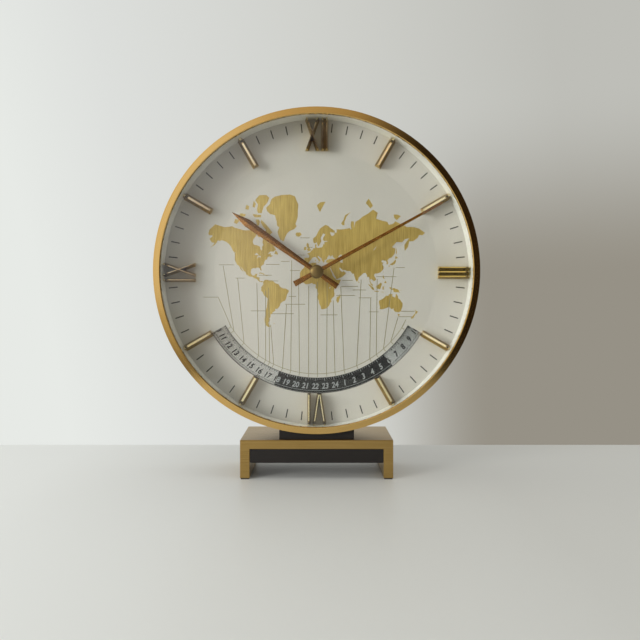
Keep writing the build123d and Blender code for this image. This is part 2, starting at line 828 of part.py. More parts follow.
# The sprung contact is a strip folded into a V that reaches from the trough's end to the cell
cell_base_x = cell_plane.origin.X - cell_nub_length - cell_length
spring_reach = cell_base_x - trough_gap + trough_half_length
spring_half = contact_height / 2
with BuildPart() as contact_spring:
    spring_rear = trough_centre_depth + contact_width / 2
    with BuildSketch(facing(spring_rear, -trough_half_length, -cell_drop)):
        with BuildLine():
            Polyline(
                (0, -spring_half),
                (contact_thickness, -spring_half),
                (contact_thickness, spring_half - spring_fold),
                (spring_reach - spring_fold, 0),
                (spring_foot, -spring_half),
                (spring_foot + contact_thickness, -spring_half),
                (spring_reach, 0),
                (contact_thickness, spring_half),
                (0, spring_half),
                close=True,
            )
        make_face()
    extrude(amount=contact_width)
save(contact_spring, "contact_spring")

# Setting knob on the arbor's rear end
with BuildPart() as setting_knob:
    with BuildSketch(facing(overall_depth)):
        with BuildLine():
            Polyline(
                *[
                    polar(knob_radius - knob_ridge_depth * (step % 2), pi * step / knob_ridges)
                    for step in range(2 * knob_ridges)
                ],
                close=True,
            )
        make_face()
    extrude(amount=knob_length)
    with BuildSketch(facing(overall_depth - knob_edge)):
        few_sided(arbor_radius + fixed_clearance)
    extrude(amount=knob_length, mode=Mode.SUBTRACT)
save(setting_knob, "setting_knob")
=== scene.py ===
import math

import bmesh
import bpy
from mathutils import Matrix, Vector, noise


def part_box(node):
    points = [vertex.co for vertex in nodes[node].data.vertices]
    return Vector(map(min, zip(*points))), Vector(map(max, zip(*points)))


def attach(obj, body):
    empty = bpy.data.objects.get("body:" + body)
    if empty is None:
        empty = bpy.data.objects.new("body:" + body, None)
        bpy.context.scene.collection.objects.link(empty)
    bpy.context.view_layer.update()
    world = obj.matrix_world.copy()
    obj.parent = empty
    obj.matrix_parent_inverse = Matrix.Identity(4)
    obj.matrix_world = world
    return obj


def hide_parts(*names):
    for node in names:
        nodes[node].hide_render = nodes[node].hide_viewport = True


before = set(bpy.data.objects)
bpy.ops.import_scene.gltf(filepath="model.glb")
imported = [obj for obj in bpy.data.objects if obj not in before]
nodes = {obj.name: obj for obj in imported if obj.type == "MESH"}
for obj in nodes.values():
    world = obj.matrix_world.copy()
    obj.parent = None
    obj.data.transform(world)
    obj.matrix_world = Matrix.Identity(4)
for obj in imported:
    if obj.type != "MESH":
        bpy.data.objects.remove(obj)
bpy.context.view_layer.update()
scene = bpy.context.scene
mm = 0.001

# Places read from the solids: the clock's axis, the faces that carry print, and the cap's box
ringLow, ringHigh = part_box("bezel_ring")
axisHeight = (ringLow.z + ringHigh.z) / 2
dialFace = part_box("dial_plate")[0].y
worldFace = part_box("world_ring")[0].y
capLow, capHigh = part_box("hand_cap")
print("frame loaded, ring", round((ringHigh.x - ringLow.x) / mm, 1), "mm across")


def linear(hexColour):
    # sRGB hex to the linear values that Blender's sockets want
    parts = [int(hexColour[i:i + 2], 16) / 255 for i in (1, 3, 5)]
    return [c / 12.92 if c <= 0.04045 else ((c + 0.055) / 1.055) ** 2.4 for c in parts] + [1]


def feedNode(node, values):
    # a key is a socket's name or number, or else a property; a value that is a node or a socket is linked
    for key, value in values.items():
        if isinstance(value, bpy.types.Node):
            value = next(output for output in value.outputs if output.enabled)
        if isinstance(value, bpy.types.NodeSocket):
            node.id_data.links.new(value, node.inputs[key])
        elif isinstance(key, int) or key in node.inputs.keys():
            node.inputs[key].default_value = value
        else:
            setattr(node, key, value)
    return node


def addNode(tree, kind, values=None):
    # one node with its settings and links
    return feedNode(tree.nodes.new("ShaderNode" + kind), values or {})


def rampAlong(tree, value, edges, stops):
    # colour stops as (place, hex), laid from the value's first edge to its second
    share = addNode(tree, "MapRange", {"From Min": edges[0], "From Max": edges[1], "Value": value})
    ramp = addNode(tree, "ValToRGB", {0: share})
    elements = ramp.color_ramp.elements
    elements.remove(elements[-1])
    elements[0].position, elements[0].color = stops[0][0], linear(stops[0][1])
    for place, colour in stops[1:]:
        elements.new(place).color = linear(colour)
    return ramp


def turnOf(tree, way):
    # the angle of a way round an axis along Y, from straight up
    parts = addNode(tree, "SeparateXYZ", {0: way}).outputs
    return addNode(tree, "Math", {"operation": "ARCTAN2", 0: parts["X"], 1: parts["Z"]})


def addObject(name, data):
    added = bpy.data.objects.new(name, data)
    scene.collection.objects.link(added)
    return added


def meshFrom(name, shape):
    mesh = bpy.data.meshes.new(name)
    shape.to_mesh(mesh)
    shape.free()
    return mesh


def newMaterial(name):
    material = bpy.data.materials.new(name)
    material.use_nodes = True
    return material, material.node_tree, material.node_tree.nodes["Principled BSDF"]


def makeSurface(name, look):
    # a finish from its colours, shine and grain; grain is (along X, Y, Z) in millimetres
    # turned=(x, z) lays the grain in rings about that axis instead, as a lathe leaves it
    material, tree, shader = newMaterial(name)
    place = addNode(tree, "TexCoord").outputs["Object"]
    inMm = addNode(tree, "VectorMath", {"operation": "SCALE", 0: place, "Scale": 1 / mm})
    where = inMm
    if "turned" in look:
        x, z = look["turned"]
        away = addNode(tree, "VectorMath", {"operation": "SUBTRACT", 0: inMm, 1: (x, 0, z)})
        flat = addNode(tree, "VectorMath", {"operation": "MULTIPLY", 0: away, 1: (1, 0, 1)})
        radius = addNode(tree, "VectorMath", {"operation": "LENGTH", 0: flat})
        depth = addNode(tree, "SeparateXYZ", {0: away}).outputs["Y"]
        where = addNode(tree, "CombineXYZ", {0: radius, 1: depth, 2: turnOf(tree, away)})
    stretched = addNode(tree, "VectorMath", {"operation": "DIVIDE", 0: where, 1: look["grain"]})
    grain = addNode(tree, "TexNoise", {"Vector": stretched, "Scale": 1.0, "Detail": 3.0, "Roughness": 0.6})
    patches = addNode(tree, "TexNoise", {"Vector": inMm, "Scale": 1 / look.get("patch", 30.0), "Detail": 2.0})
    # noise keeps near its middle, so its useful part is spread over the whole range
    spread, drift = [addNode(tree, "MapRange", {"From Min": 0.3, "From Max": 0.7, "Value": source})
                     for source in (grain, patches)]
    blend = addNode(tree, "Mix", {0: look.get("patchShare", 0.35), 2: spread, 3: drift})
    tint = addNode(tree, "Mix", {"data_type": "RGBA", 0: blend, 6: linear(look["dark"]),
                                 7: linear(look["light"])})
    if "sides" in look:
        # faces that look neither to the front nor to the clock's axis get a tone of their own: painted shade
        # on the sides, beside the lit fronts
        normal = addNode(tree, "NewGeometry").outputs["True Normal"]
        leaning = addNode(tree, "SeparateXYZ", {0: normal}).outputs["Y"]
        start, end = look["frontEdges"]
        toFront = addNode(tree, "MapRange", {"From Min": start, "From Max": end, "Value": leaning})
        outward = addNode(tree, "VectorMath", {"operation": "SUBTRACT", 0: place, 1: (0, 0, axisHeight)})
        flat = addNode(tree, "VectorMath", {"operation": "MULTIPLY", 0: outward, 1: (1, 0, 1)})
        unit = addNode(tree, "VectorMath", {"operation": "NORMALIZE", 0: flat})
        along = addNode(tree, "VectorMath", {"operation": "DOT_PRODUCT", 0: unit, 1: normal})
        start, end = look["axisEdges"]
        toAxis = addNode(tree, "MapRange", {"From Min": start, "From Max": end, "Value": along})
        facing = addNode(tree, "Math", {"operation": "MAXIMUM", 0: toFront, 1: toAxis})
        light, dark = look["sides"]
        side = addNode(tree, "Mix", {"data_type": "RGBA", 0: blend, 6: linear(dark), 7: linear(light)})
        tint = addNode(tree, "Mix", {"data_type": "RGBA", 0: facing, 6: side, 7: tint})
    low, high = look["rough"]
    rough = addNode(tree, "MapRange", {"To Min": low, "To Max": high, "Value": blend})
    feedNode(shader, {"Base Color": tint, "Roughness": rough})
    for key, socket in (("metal", "Metallic"), ("ior", "IOR"), ("coat", "Coat Weight"),
                        ("coatRough", "Coat Roughness"), ("sheen", "Sheen Weight")):
        if key in look:
            shader.inputs[socket].default_value = look[key]
    if "edgeTint" in look:
        shader.inputs["Specular Tint"].default_value = linear(look["edgeTint"])
    if "bump" in look:
        bump = addNode(tree, "Bump", {"Distance": look["bump"] * mm, "Height": spread})
        feedNode(shader, {"Normal": bump})
    return material


def dress(material, *names):
    # the CAD node keeps its mesh and takes the finish in its slots
    for name in names:
        mesh = nodes[name].data
        if not mesh.materials:
            mesh.materials.append(material)
        for i in range(len(mesh.materials)):
            mesh.materials[i] = material


def placePiece(name, mesh, material, body, replaced=()):
    # an added piece gets its finish, its body, its slot and what it replaces
    piece = addObject(name, mesh)
    mesh.materials.clear()
    mesh.materials.append(material)
    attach(piece, body)
    if replaced:
        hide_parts(*replaced)


# The camera stands where the photograph was taken, level with the lower half of the dial
cameraView = {"place": (0.0026, -0.5955, 0.1301), "pitchDown": 0.78, "lens": 41.23}


def makeCamera():
    camera = bpy.data.cameras.new("photographView")
    camera.lens = cameraView["lens"]
    camera.clip_start = 0.01
    holder = addObject("photographView", camera)
    holder.location = cameraView["place"]
    holder.rotation_euler = (math.radians(90 - cameraView["pitchDown"]), 0, 0)
    scene.camera = holder


# A pale table, whose back edge is just behind the clock, in front of a pale wall that is only a colour
# the tones darken from left to right: painted falloff of the window's light
table = {"backEdge": 0.11, "frontEdge": -0.85, "halfWidth": 1.6, "rough": 0.42,
         "windowFalloffTones": ("#ebede8", "#cecec7"), "windowFalloffEdges": (-0.22, 0.14)}


def makeTable():
    shape = bmesh.new()
    across, near, far = table["halfWidth"], table["frontEdge"], table["backEdge"]
    corners = [(-across, near, 0), (across, near, 0), (across, far, 0), (-across, far, 0)]
    shape.faces.new([shape.verts.new(corner) for corner in corners])
    floor = addObject("table", meshFrom("table", shape))
    # satin painted board with a faint gloss at a low angle; its tone darkens away from the window as painted
    # falloff of the window's light
    paint, tree, shader = newMaterial("satinPaintedBoard")
    place = addNode(tree, "TexCoord").outputs["Object"]
    side = addNode(tree, "SeparateXYZ", {0: place}).outputs["X"]
    start, end = table["windowFalloffEdges"]
    left, right = table["windowFalloffTones"]
    share = addNode(tree, "MapRange", {"From Min": start, "From Max": end, "Value": side})
    tone = addNode(tree, "Mix", {"data_type": "RGBA", 0: share, 6: linear(left), 7: linear(right)})
    feedNode(shader, {"Base Color": tone, "Roughness": table["rough"]})
    floor.data.materials.append(paint)


# Soft daylight from a window on the left, with a plain room around it
studio = {
    "keyPlace": (-1.40, -1.25, 0.48), "keySize": 0.75, "keyPower": 17.5,
    # soft light from below, level and above
    "fill": [(0.0, "#b0b0b0"), (0.5, "#bcbcbc"), (0.75, "#dddddd"), (1.0, "#ffffff")],
    "fillPower": 0.93,
    # wall behind the clock, from the lit side to the other, its stops leaning a little with the height
    "wall": [(0.0, "#e7eae6"), (0.2, "#dddfdc"), (0.6, "#cfd0cb"), (1.0, "#bebeb8")],
    "wallEdges": (-0.35, 0.35), "wallLean": 0.2,
    # the soft shade that lies low on the wall's right
    "wallShade": {"tone": "#969186", "side": (0.06, 0.23), "height": (0.28, 0.04)},
    # what polished metal sees in front of it, by the hour angle on the ring, from six round past twelve
    "cards": [(0.0, "#ddd6c6"), (0.13, "#f0eadc"), (0.14, "#12100e"), (0.195, "#12100e"), (0.205, "#b6b196"),
              (0.245, "#c9c4ac"), (0.262, "#ffffff"), (0.42, "#ffffff"), (0.47, "#dcd0bb"), (0.53, "#cabda6"),
              (0.565, "#2a211a"), (0.7, "#33281e"), (0.86, "#171310"), (0.88, "#b9b096"), (0.93, "#d5ccb8"),
              (1.0, "#ddd6c6")],
    "cardDepth": (-0.86, -0.94),
    # the same round for the tops of the hour marks, and for the bright part of the hour ring
    "markCards": [(0.0, "#ece8dc"), (0.05, "#fffdf2"), (0.1, "#fffff4"), (0.14, "#e6e0d0"), (0.19, "#bcb0a4"),
                  (0.26, "#8f8388"), (0.34, "#b8abb0"), (0.417, "#f0e6ea"), (0.45, "#7c686c"),
                  (0.475, "#3f2f35"), (0.525, "#3f2f35"), (0.56, "#e0c9c2"), (0.60, "#fff0ea"),
                  (0.66, "#ffffff"), (0.71, "#fff8e8"), (0.735, "#c0a85c"), (0.75, "#ffeaa8"),
                  (0.77, "#c8b470"), (0.80, "#ffffff"), (0.93, "#ffffff"), (1.0, "#e8e4dc")],
    "ringCards": [(0.0, "#f4f4f2"), (0.085, "#f4f4f2"), (0.105, "#d4d4d2"), (0.120, "#3c3c3b"),
                  (0.135, "#040404"), (0.83, "#3a3a38"), (0.86, "#838381"), (0.885, "#e6e6e4"),
                  (1.0, "#f4f4f2")],
    # the zones' middle, as the camera stands lower than the clock's axis, and their edges as slopes from it
    # the least way ahead keeps a slope finite, and the large depth takes its Y away
    "zoneMiddle": (-0.0044, 0.0511), "leastAhead": 0.05, "largeDepth": 1e6,
    "zoneEdges": {"glassTop": (0.196, 0.176), "marks": (0.215, 0.214), "ring": (0.165, 0.164),
                  "glass": (0.141, 0.138)},
    # the rest of the room from left to right, and where the wall takes its place behind the clock
    "room": [(0.0, "#f4f3f0"), (0.35, "#d8d6d0"), (0.62, "#8f8a83"), (1.0, "#77716a")],
    "wallDepth": (-0.1, 0.15),
    # what the glass mirrors in front of it, from left to right
    "glare": [(0.0, "#fff0e8"), (0.24, "#f7e6de"), (0.44, "#94887f"), (0.62, "#3a332c"), (1.0, "#28221c")],
    "glareEdges": (-0.18, 0.18),
}


def makeWallTone(tree, side, height):
    # wall tone for what the camera sees past the clock
    lower = addNode(tree, "Math", {"operation": "MULTIPLY_ADD", 0: height, 1: studio["wallLean"], 2: side})
    plain = rampAlong(tree, lower, studio["wallEdges"], studio["wall"])
    shade = studio["wallShade"]
    across, up = [addNode(tree, "MapRange", {"interpolation_type": "SMOOTHSTEP", "From Min": start,
                                             "From Max": end, "Value": value})
                  for value, (start, end) in ((side, shade["side"]), (height, shade["height"]))]
    shaded = addNode(tree, "Math", {"operation": "MULTIPLY", 0: across, 1: up})
    return addNode(tree, "Mix", {"data_type": "RGBA", 0: shaded, 6: plain, 7: linear(shade["tone"])})


def makeMirroredTone(tree, way, path, wall):
    # room tone for what polished faces mirror
    parts = addNode(tree, "SeparateXYZ", {0: way}).outputs
    side, depth = parts["X"], parts["Y"]
    fullTurn = (-math.pi, math.pi)
    room = rampAlong(tree, side, (-1, 1), studio["room"])
    cards = rampAlong(tree, turnOf(tree, way), fullTurn, studio["cards"])
    start, end = studio["cardDepth"]
    near = addNode(tree, "MapRange", {"From Min": start, "From Max": end, "Value": depth})
    tone = addNode(tree, "Mix", {"data_type": "RGBA", 0: near, 6: room, 7: cards})
    # zones in front, by slope away from the clock's axis
    ahead = addNode(tree, "Math", {"operation": "MULTIPLY", 0: depth, 1: -1.0})
    forward = addNode(tree, "Math", {"operation": "MAXIMUM", 0: ahead, 1: studio["leastAhead"]})
    spread = addNode(tree, "CombineXYZ", {0: forward, 1: studio["largeDepth"], 2: forward})
    slope = addNode(tree, "VectorMath", {"operation": "DIVIDE", 0: way, 1: spread})
    zoneX, zoneZ = studio["zoneMiddle"]
    away = addNode(tree, "VectorMath", {"operation": "SUBTRACT", 0: slope, 1: (zoneX, 0, zoneZ)})
    off = addNode(tree, "VectorMath", {"operation": "LENGTH", 0: away})
    zoneTurn = turnOf(tree, away)
    glare = rampAlong(tree, side, studio["glareEdges"], studio["glare"])
    zoneTones = {"glassTop": glare, "glass": glare,
                 "marks": rampAlong(tree, zoneTurn, fullTurn, studio["markCards"]),
                 "ring": rampAlong(tree, zoneTurn, fullTurn, studio["ringCards"])}
    # what lies under the glass mirrors cards of its own, so that the rim keeps its dark side
    under = addNode(tree, "Math", {"operation": "GREATER_THAN", 0: path["Transmission Depth"], 1: 0.5})
    for zone, (outer, inner) in studio["zoneEdges"].items():
        share = addNode(tree, "MapRange", {"From Min": outer, "From Max": inner, "Value": off})
        if zone in ("marks", "ring"):
            share = addNode(tree, "Math", {"operation": "MULTIPLY", 0: share, 1: under})
        tone = addNode(tree, "Mix", {"data_type": "RGBA", 0: share, 6: tone, 7: zoneTones[zone]})
    # behind the clock, metal sees the wall as the camera does
    start, end = studio["wallDepth"]
    behind = addNode(tree, "MapRange", {"From Min": start, "From Max": end, "Value": depth})
    return addNode(tree, "Mix", {"data_type": "RGBA", 0: behind, 6: tone, 7: wall})


def makeStudio():
    world = bpy.data.worlds.new("studio")
    scene.world = world
    world.use_nodes = True
    tree = world.node_tree
    tree.nodes.clear()
    way = addNode(tree, "TexCoord").outputs["Generated"]
    parts = addNode(tree, "SeparateXYZ", {0: way}).outputs
    path = addNode(tree, "LightPath").outputs
    wall = makeWallTone(tree, parts["X"], parts["Z"])
    mirrored = makeMirroredTone(tree, way, path, wall)
    # the camera and clear glass see the wall; polished faces see the room, also from under the glass
    unmirrored, unscattered = [addNode(tree, "Math", {"operation": "LESS_THAN", 0: path[depthName], 1: 0.5})
                               for depthName in ("Glossy Depth", "Diffuse Depth")]
    straight = addNode(tree, "Math", {"operation": "MULTIPLY", 0: unmirrored, 1: unscattered})
    through = addNode(tree, "Math", {"operation": "MULTIPLY", 0: path["Is Transmission Ray"], 1: straight})
    seesWall = addNode(tree, "Math", {"operation": "MAXIMUM", 0: path["Is Camera Ray"], 1: through})
    seesRoom = addNode(tree, "Math", {"operation": "MULTIPLY", 0: path["Is Glossy Ray"], 1: unscattered})
    fillTone = rampAlong(tree, parts["Z"], (-1, 1), studio["fill"])
    fill = addNode(tree, "Background", {"Color": fillTone, "Strength": studio["fillPower"]})
    mirror = addNode(tree, "Background", {"Color": mirrored})
    backdrop = addNode(tree, "Background", {"Color": wall})
    withMirror = addNode(tree, "MixShader", {0: seesRoom, 1: fill, 2: mirror})
    whole = addNode(tree, "MixShader", {0: seesWall, 1: withMirror, 2: backdrop})
    addNode(tree, "OutputWorld", {"Surface": whole})
    window = bpy.data.lights.new("windowLight", "AREA")
    window.shape = "DISK"
    window.size = studio["keySize"]
    window.energy = studio["keyPower"]
    lamp = addObject("windowLight", window)
    lamp.location = studio["keyPlace"]
    aim = Vector((0, 0, axisHeight)) - lamp.location
    lamp.rotation_euler = aim.to_track_quat("-Z", "Y").to_euler()


makeCamera()
makeTable()
makeStudio()
scene.view_settings.view_transform = "Standard"
print("camera, table and light set")

# Brass, drawn, rolled or turned: warm yellow, greyer where it is brushed
# Rim, spun and polished, then clear lacquered: rings of the mop too fine to see, drawn 0.5 mm wide
rimBrass = {"light": "#dcb876", "dark": "#cda761", "rough": (0.09, 0.16), "metal": 1, "grain": (0.5, 20, 2.0),
            "turned": (0, axisHeight / mm), "patch": 45.0}
dress(makeSurface("lacqueredRimBrass", rimBrass), "bezel_ring")

# Stand, rolled plate brushed along its length with a belt: straight lines, drawn 0.35 mm wide
standBrass = {"light": "#bb9c61", "dark": "#a08249", "rough": (0.24, 0.38), "metal": 1,
              "grain": (60, 0.6, 0.35), "patch": 60.0, "patchShare": 0.4, "bump": 0.006}
dress(makeSurface("brushedStandBrass", standBrass), "stand_bridge")

# Wheels and pipes, turned from bar and left bright: tool rings 0.25 mm apart, about each wheel's own axis
wheelBrass = {"light": "#d2b06c", "dark": "#b48f4b", "rough": (0.18, 0.34), "metal": 1,
              "grain": (0.25, 20, 1.5)}
dress(makeSurface("turnedBrass", wheelBrass), "dial_feet", "foot_nuts")
for wheel in ("world_ring_hub", "hour_wheel", "minute_wheel", "transfer_wheel"):
    low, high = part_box(wheel)
    wheelLook = dict(wheelBrass, turned=((low.x + high.x) / 2 / mm, (low.z + high.z) / 2 / mm))
    dress(makeSurface("turnedBrass_" + wheel, wheelLook), wheel)

# Marks, gilt and then diamond milled on top: near white flats and darker sides, chosen by which way a face
# looks, are painted highlight and painted shade
markGilt = {"light": "#fff4d0", "dark": "#f9e6ad", "rough": (0.05, 0.11), "metal": 1, "grain": (3, 3, 3),
            "patch": 16.0, "edgeTint": "#d2b988", "sides": ("#c6b06a", "#a8924c"),
            "frontEdges": (-0.6, -0.8), "axisEdges": (-0.85, -0.95)}
dress(makeSurface("milledGiltMarks", markGilt), "hour_bars", "numeral_three", "numeral_six",
      "numeral_nine", "numeral_twelve")

# Hands, pressed with a ridge and rose gilt: redder than the rim, with a slight cloud
handGilt = {"light": "#a06e37", "dark": "#805225", "rough": (0.16, 0.24), "metal": 1, "grain": (4, 4, 4),
            "patch": 14.0}
dress(makeSurface("roseGiltHands", handGilt), "minute_hand", "hour_hand")

# Cap, turned dome: brass darkened to olive as painted shade and painted dark reflection, fine rings, half
# dull
capBrass = {"light": "#836c43", "dark": "#685531", "rough": (0.36, 0.46), "metal": 1, "grain": (0.3, 10, 2.0),
            "turned": (0, axisHeight / mm)}
capFinish = makeSurface("paintedShadeCapBrass", capBrass)
dress(capFinish, "hand_cap")

# Steel, zinc plated in a barrel: cool grey with a patchy, slightly blue sheen
zincSteel = {"light": "#c3c5c4", "dark": "#9b9d9c", "rough": (0.26, 0.42), "metal": 1,
             "grain": (1.5, 1.5, 1.5), "patch": 9.0}
dress(makeSurface("zincPlatedSteel", zincSteel), "stand_screws", "saddle_nut_plate", "carrier_plate",
      "housing_screws", "contact_plate", "contact_spring")

# Arbor, silver steel ground between centres: fine rings round the shaft
groundSteel = {"light": "#cfd0d0", "dark": "#a8a9aa", "rough": (0.14, 0.24), "metal": 1, "grain": (3, 0.2, 3)}
dress(makeSurface("groundSteel", groundSteel), "minute_arbor")

# Drum, deep drawn steel stove enamelled dark bronze: even satin with a slight orange peel
drumEnamel = {"light": "#4a4136", "dark": "#3c342b", "rough": (0.34, 0.46), "metal": 0.35,
              "grain": (1.6, 1.6, 1.6), "bump": 0.010, "patch": 40.0}
dress(makeSurface("bronzeStoveEnamel", drumEnamel), "case_drum")

# Wall ring, aluminium strip rolled and enamelled off white: glossy, with a faint cloud
wallEnamel = {"light": "#f1efe8", "dark": "#e7e4dc", "rough": (0.16, 0.24), "ior": 1.5,
              "grain": (2.5, 2.5, 2.5), "patch": 50.0}
dress(makeSurface("offWhiteEnamel", wallEnamel), "wall_ring")

# Dial, brass sheet silvered and silk lacquered: a fine vertical brushing shows through
dialSilk = {"light": "#c2bdb5", "dark": "#b9b4ab", "rough": (0.34, 0.44), "ior": 1.48, "grain": (0.5, 4, 18),
            "patch": 55.0, "patchShare": 0.5, "coat": 0.15, "coatRough": 0.2}
dress(makeSurface("silkLacqueredDial", dialSilk), "dial_plate")

# Blocks, phenolic moulding rubbed satin: nearly black brown with a faint cloud
blockPhenolic = {"light": "#1c1612", "dark": "#130f0c", "rough": (0.48, 0.60), "ior": 1.42,
                 "grain": (6, 1.2, 1.2), "bump": 0.006, "patch": 22.0}
dress(makeSurface("rubbedPhenolic", blockPhenolic), "under_block", "pedestal_block")

# Feet, wool felt pressed: dull fibres about 0.3 mm across stand up from it
woolFelt = {"light": "#2b2a29", "dark": "#191818", "rough": (0.85, 0.98), "grain": (0.4, 0.4, 0.4),
            "bump": 0.12, "sheen": 0.5, "patch": 8.0}
dress(makeSurface("woolFelt", woolFelt), "foot_felts")

# Movement case, ABS moulded in a spark eroded tool: grit about 0.4 mm
blackAbs = {"light": "#232426", "dark": "#191a1b", "rough": (0.44, 0.58), "ior": 1.53,
            "grain": (0.4, 0.4, 0.4), "bump": 0.02, "patch": 25.0}
dress(makeSurface("mouldedBlackAbs", blackAbs), "movement_housing")

# Knob, ABS moulded, smoother than the case
greyAbs = {"light": "#c9c5ba", "dark": "#bdb9ad", "rough": (0.34, 0.44), "ior": 1.53,
           "grain": (0.5, 0.5, 0.5), "bump": 0.008, "patch": 12.0}
dress(makeSurface("mouldedGreyAbs", greyAbs), "setting_knob")

# Cell, steel can in a shrunk plastic sleeve: smooth, slightly glossy
cellSleeve = {"light": "#3a3d42", "dark": "#303338", "rough": (0.20, 0.30), "ior": 1.5, "grain": (8, 8, 1.5),
              "patch": 18.0, "coat": 0.3, "coatRough": 0.1}
dress(makeSurface("shrunkCellSleeve", cellSleeve), "battery_cell")

# Ring, aluminium disc anodised: pale grey, turned rings 0.4 mm apart, under the print
ringAnodised = {"light": "#b9bcbb", "dark": "#aeb1b0", "rough": (0.36, 0.48), "metal": 0.3,
                "grain": (0.4, 6, 3), "turned": (0, axisHeight / mm)}
dress(makeSurface("anodisedRing", ringAnodised), "world_ring")

# Glass, float, clear and ground at its edge: light passes straight to the dial; waves about 55 mm long
glass = {"body": "#fbfdfb", "shadow": "#f4f6f4", "ior": 1.45, "rough": 0.012, "waves": 18.0}


def makeGlass():
    material, tree, shader = newMaterial("floatGlass")
    place = addNode(tree, "TexCoord").outputs["Object"]
    waves = addNode(tree, "TexNoise", {"Vector": place, "Scale": glass["waves"], "Detail": 1.0})
    clean = addNode(tree, "MapRange", {"To Max": glass["rough"], "Value": waves})
    feedNode(shader, {"Base Color": linear(glass["body"]), "Roughness": clean, "IOR": glass["ior"],
                      "Transmission Weight": 1.0})
    through = addNode(tree, "BsdfTransparent", {"Color": linear(glass["shadow"])})
    isShadow = addNode(tree, "LightPath").outputs["Is Shadow Ray"]
    mix = addNode(tree, "MixShader", {0: isShadow, 1: shader, 2: through})
    feedNode(tree.nodes["Material Output"], {"Surface": mix})
    return material


dress(makeGlass(), "crystal")
print("finishes on the solids")


def meshOf(curve):
    # the mesh of a curve or a text, which then goes
    holder = addObject(curve.name, curve)
    bpy.context.view_layer.update()
    mesh = bpy.data.meshes.new_from_object(holder.evaluated_get(bpy.context.evaluated_depsgraph_get()))
    bpy.data.objects.remove(holder)
    bpy.data.curves.remove(curve)
    return mesh


# Where print lies: the face, the body that carries it and its slot
onDial = (dialFace, "case", "dial_lacquer")
onRing = (worldFace, "world_ring", "printed_ring")


def layPrint(name, mesh, height, material, where):
    # a flat mesh round the clock's axis is stood up and laid on its face, as a thin layer
    face, body, slot = where
    middle = Matrix.Translation((0, face - height * mm / 2, axisHeight))
    mesh.transform(middle @ Matrix.Rotation(math.pi / 2, 4, "X"))
    placePiece(name, mesh, material, body)


def printShape(name, outlines, height, material, where):
    # outlines in millimetres from the clock's axis, x to the right and z up, filled and a little raised
    curve = bpy.data.curves.new(name, "CURVE")
    curve.dimensions = "2D"
    curve.fill_mode = "BOTH"
    curve.extrude = height * mm / 2
    for outline in outlines:
        spline = curve.splines.new("POLY")
        spline.points.add(len(outline) - 1)
        for point, (x, z) in zip(spline.points, outline):
            point.co = (x * mm, z * mm, 0, 1)
        spline.use_cyclic_u = True
    layPrint(name, meshOf(curve), height, material, where)


def polar(radius, angle):
    # a place on the dial by its radius and its angle in degrees clockwise from twelve
    return radius * math.sin(math.radians(angle)), radius * math.cos(math.radians(angle))


def strip(start, end, width):
    # the outline of a straight line of that width
    start, end = Vector(start), Vector(end)
    along = (end - start).normalized() * width / 2
    aside = Vector((-along.y, along.x))
    return [tuple(corner) for corner in (start + aside, end + aside, end - aside, start - aside)]


def spoke(inner, outer, angle, width):
    # a straight line along the dial's radius
    return strip(polar(inner, angle), polar(outer, angle), width)


def band(inner, outer, first, last, step=1.5):
    # the outline of a ring or of part of one, as chords that each span about step degrees
    count = max(2, round(abs(last - first) / step))
    turns = [first + (last - first) * i / count for i in range(count + 1)]
    return [polar(outer, a) for a in turns] + [polar(inner, a) for a in reversed(turns)]


# Print: screen inks and bronze ink, which stand a few hundredths of a millimetre proud of the lacquer
mapInk = {"light": "#cbb064", "dark": "#9c8240", "rough": (0.34, 0.48), "metal": 0.42, "grain": (0.8, 5, 16),
          "patch": 35.0, "patchShare": 0.3}
lineInk = {"light": "#8f8868", "dark": "#7f7859", "rough": (0.45, 0.6), "metal": 0.2,
           "grain": (1.2, 1.2, 1.2)}
# dark screen ink for the minute ticks, also used for the painted shade along the window's cut edge
darkInkAndShade = {"light": "#26221d", "dark": "#1b1814", "rough": (0.4, 0.55), "grain": (0.8, 0.8, 0.8)}
lineFinish = makeSurface("beigeLineInk", lineInk)
darkFinish = makeSurface("darkScreenInkAndShade", darkInkAndShade)

minuteTicks = {"inner": 111.8, "outer": 118.9, "width": 0.92, "height": 0.04}

minuteMarks = [spoke(minuteTicks["inner"], minuteTicks["outer"], minute * 6, minuteTicks["width"])
               for minute in range(60) if minute % 5]
printShape("minute_ticks", minuteMarks, minuteTicks["height"], darkFinish, onDial)

# World map: millimetres to a degree of longitude, its centre, and Mercator's stretch to the north
mapPrint = {"perDegree": 0.4835, "centreX": -5.4, "equatorZ": -11.5, "stretch": 27.7, "height": 0.03,
            "wander": 0.16, "wanderSize": 2.2, "stepLength": 0.8}

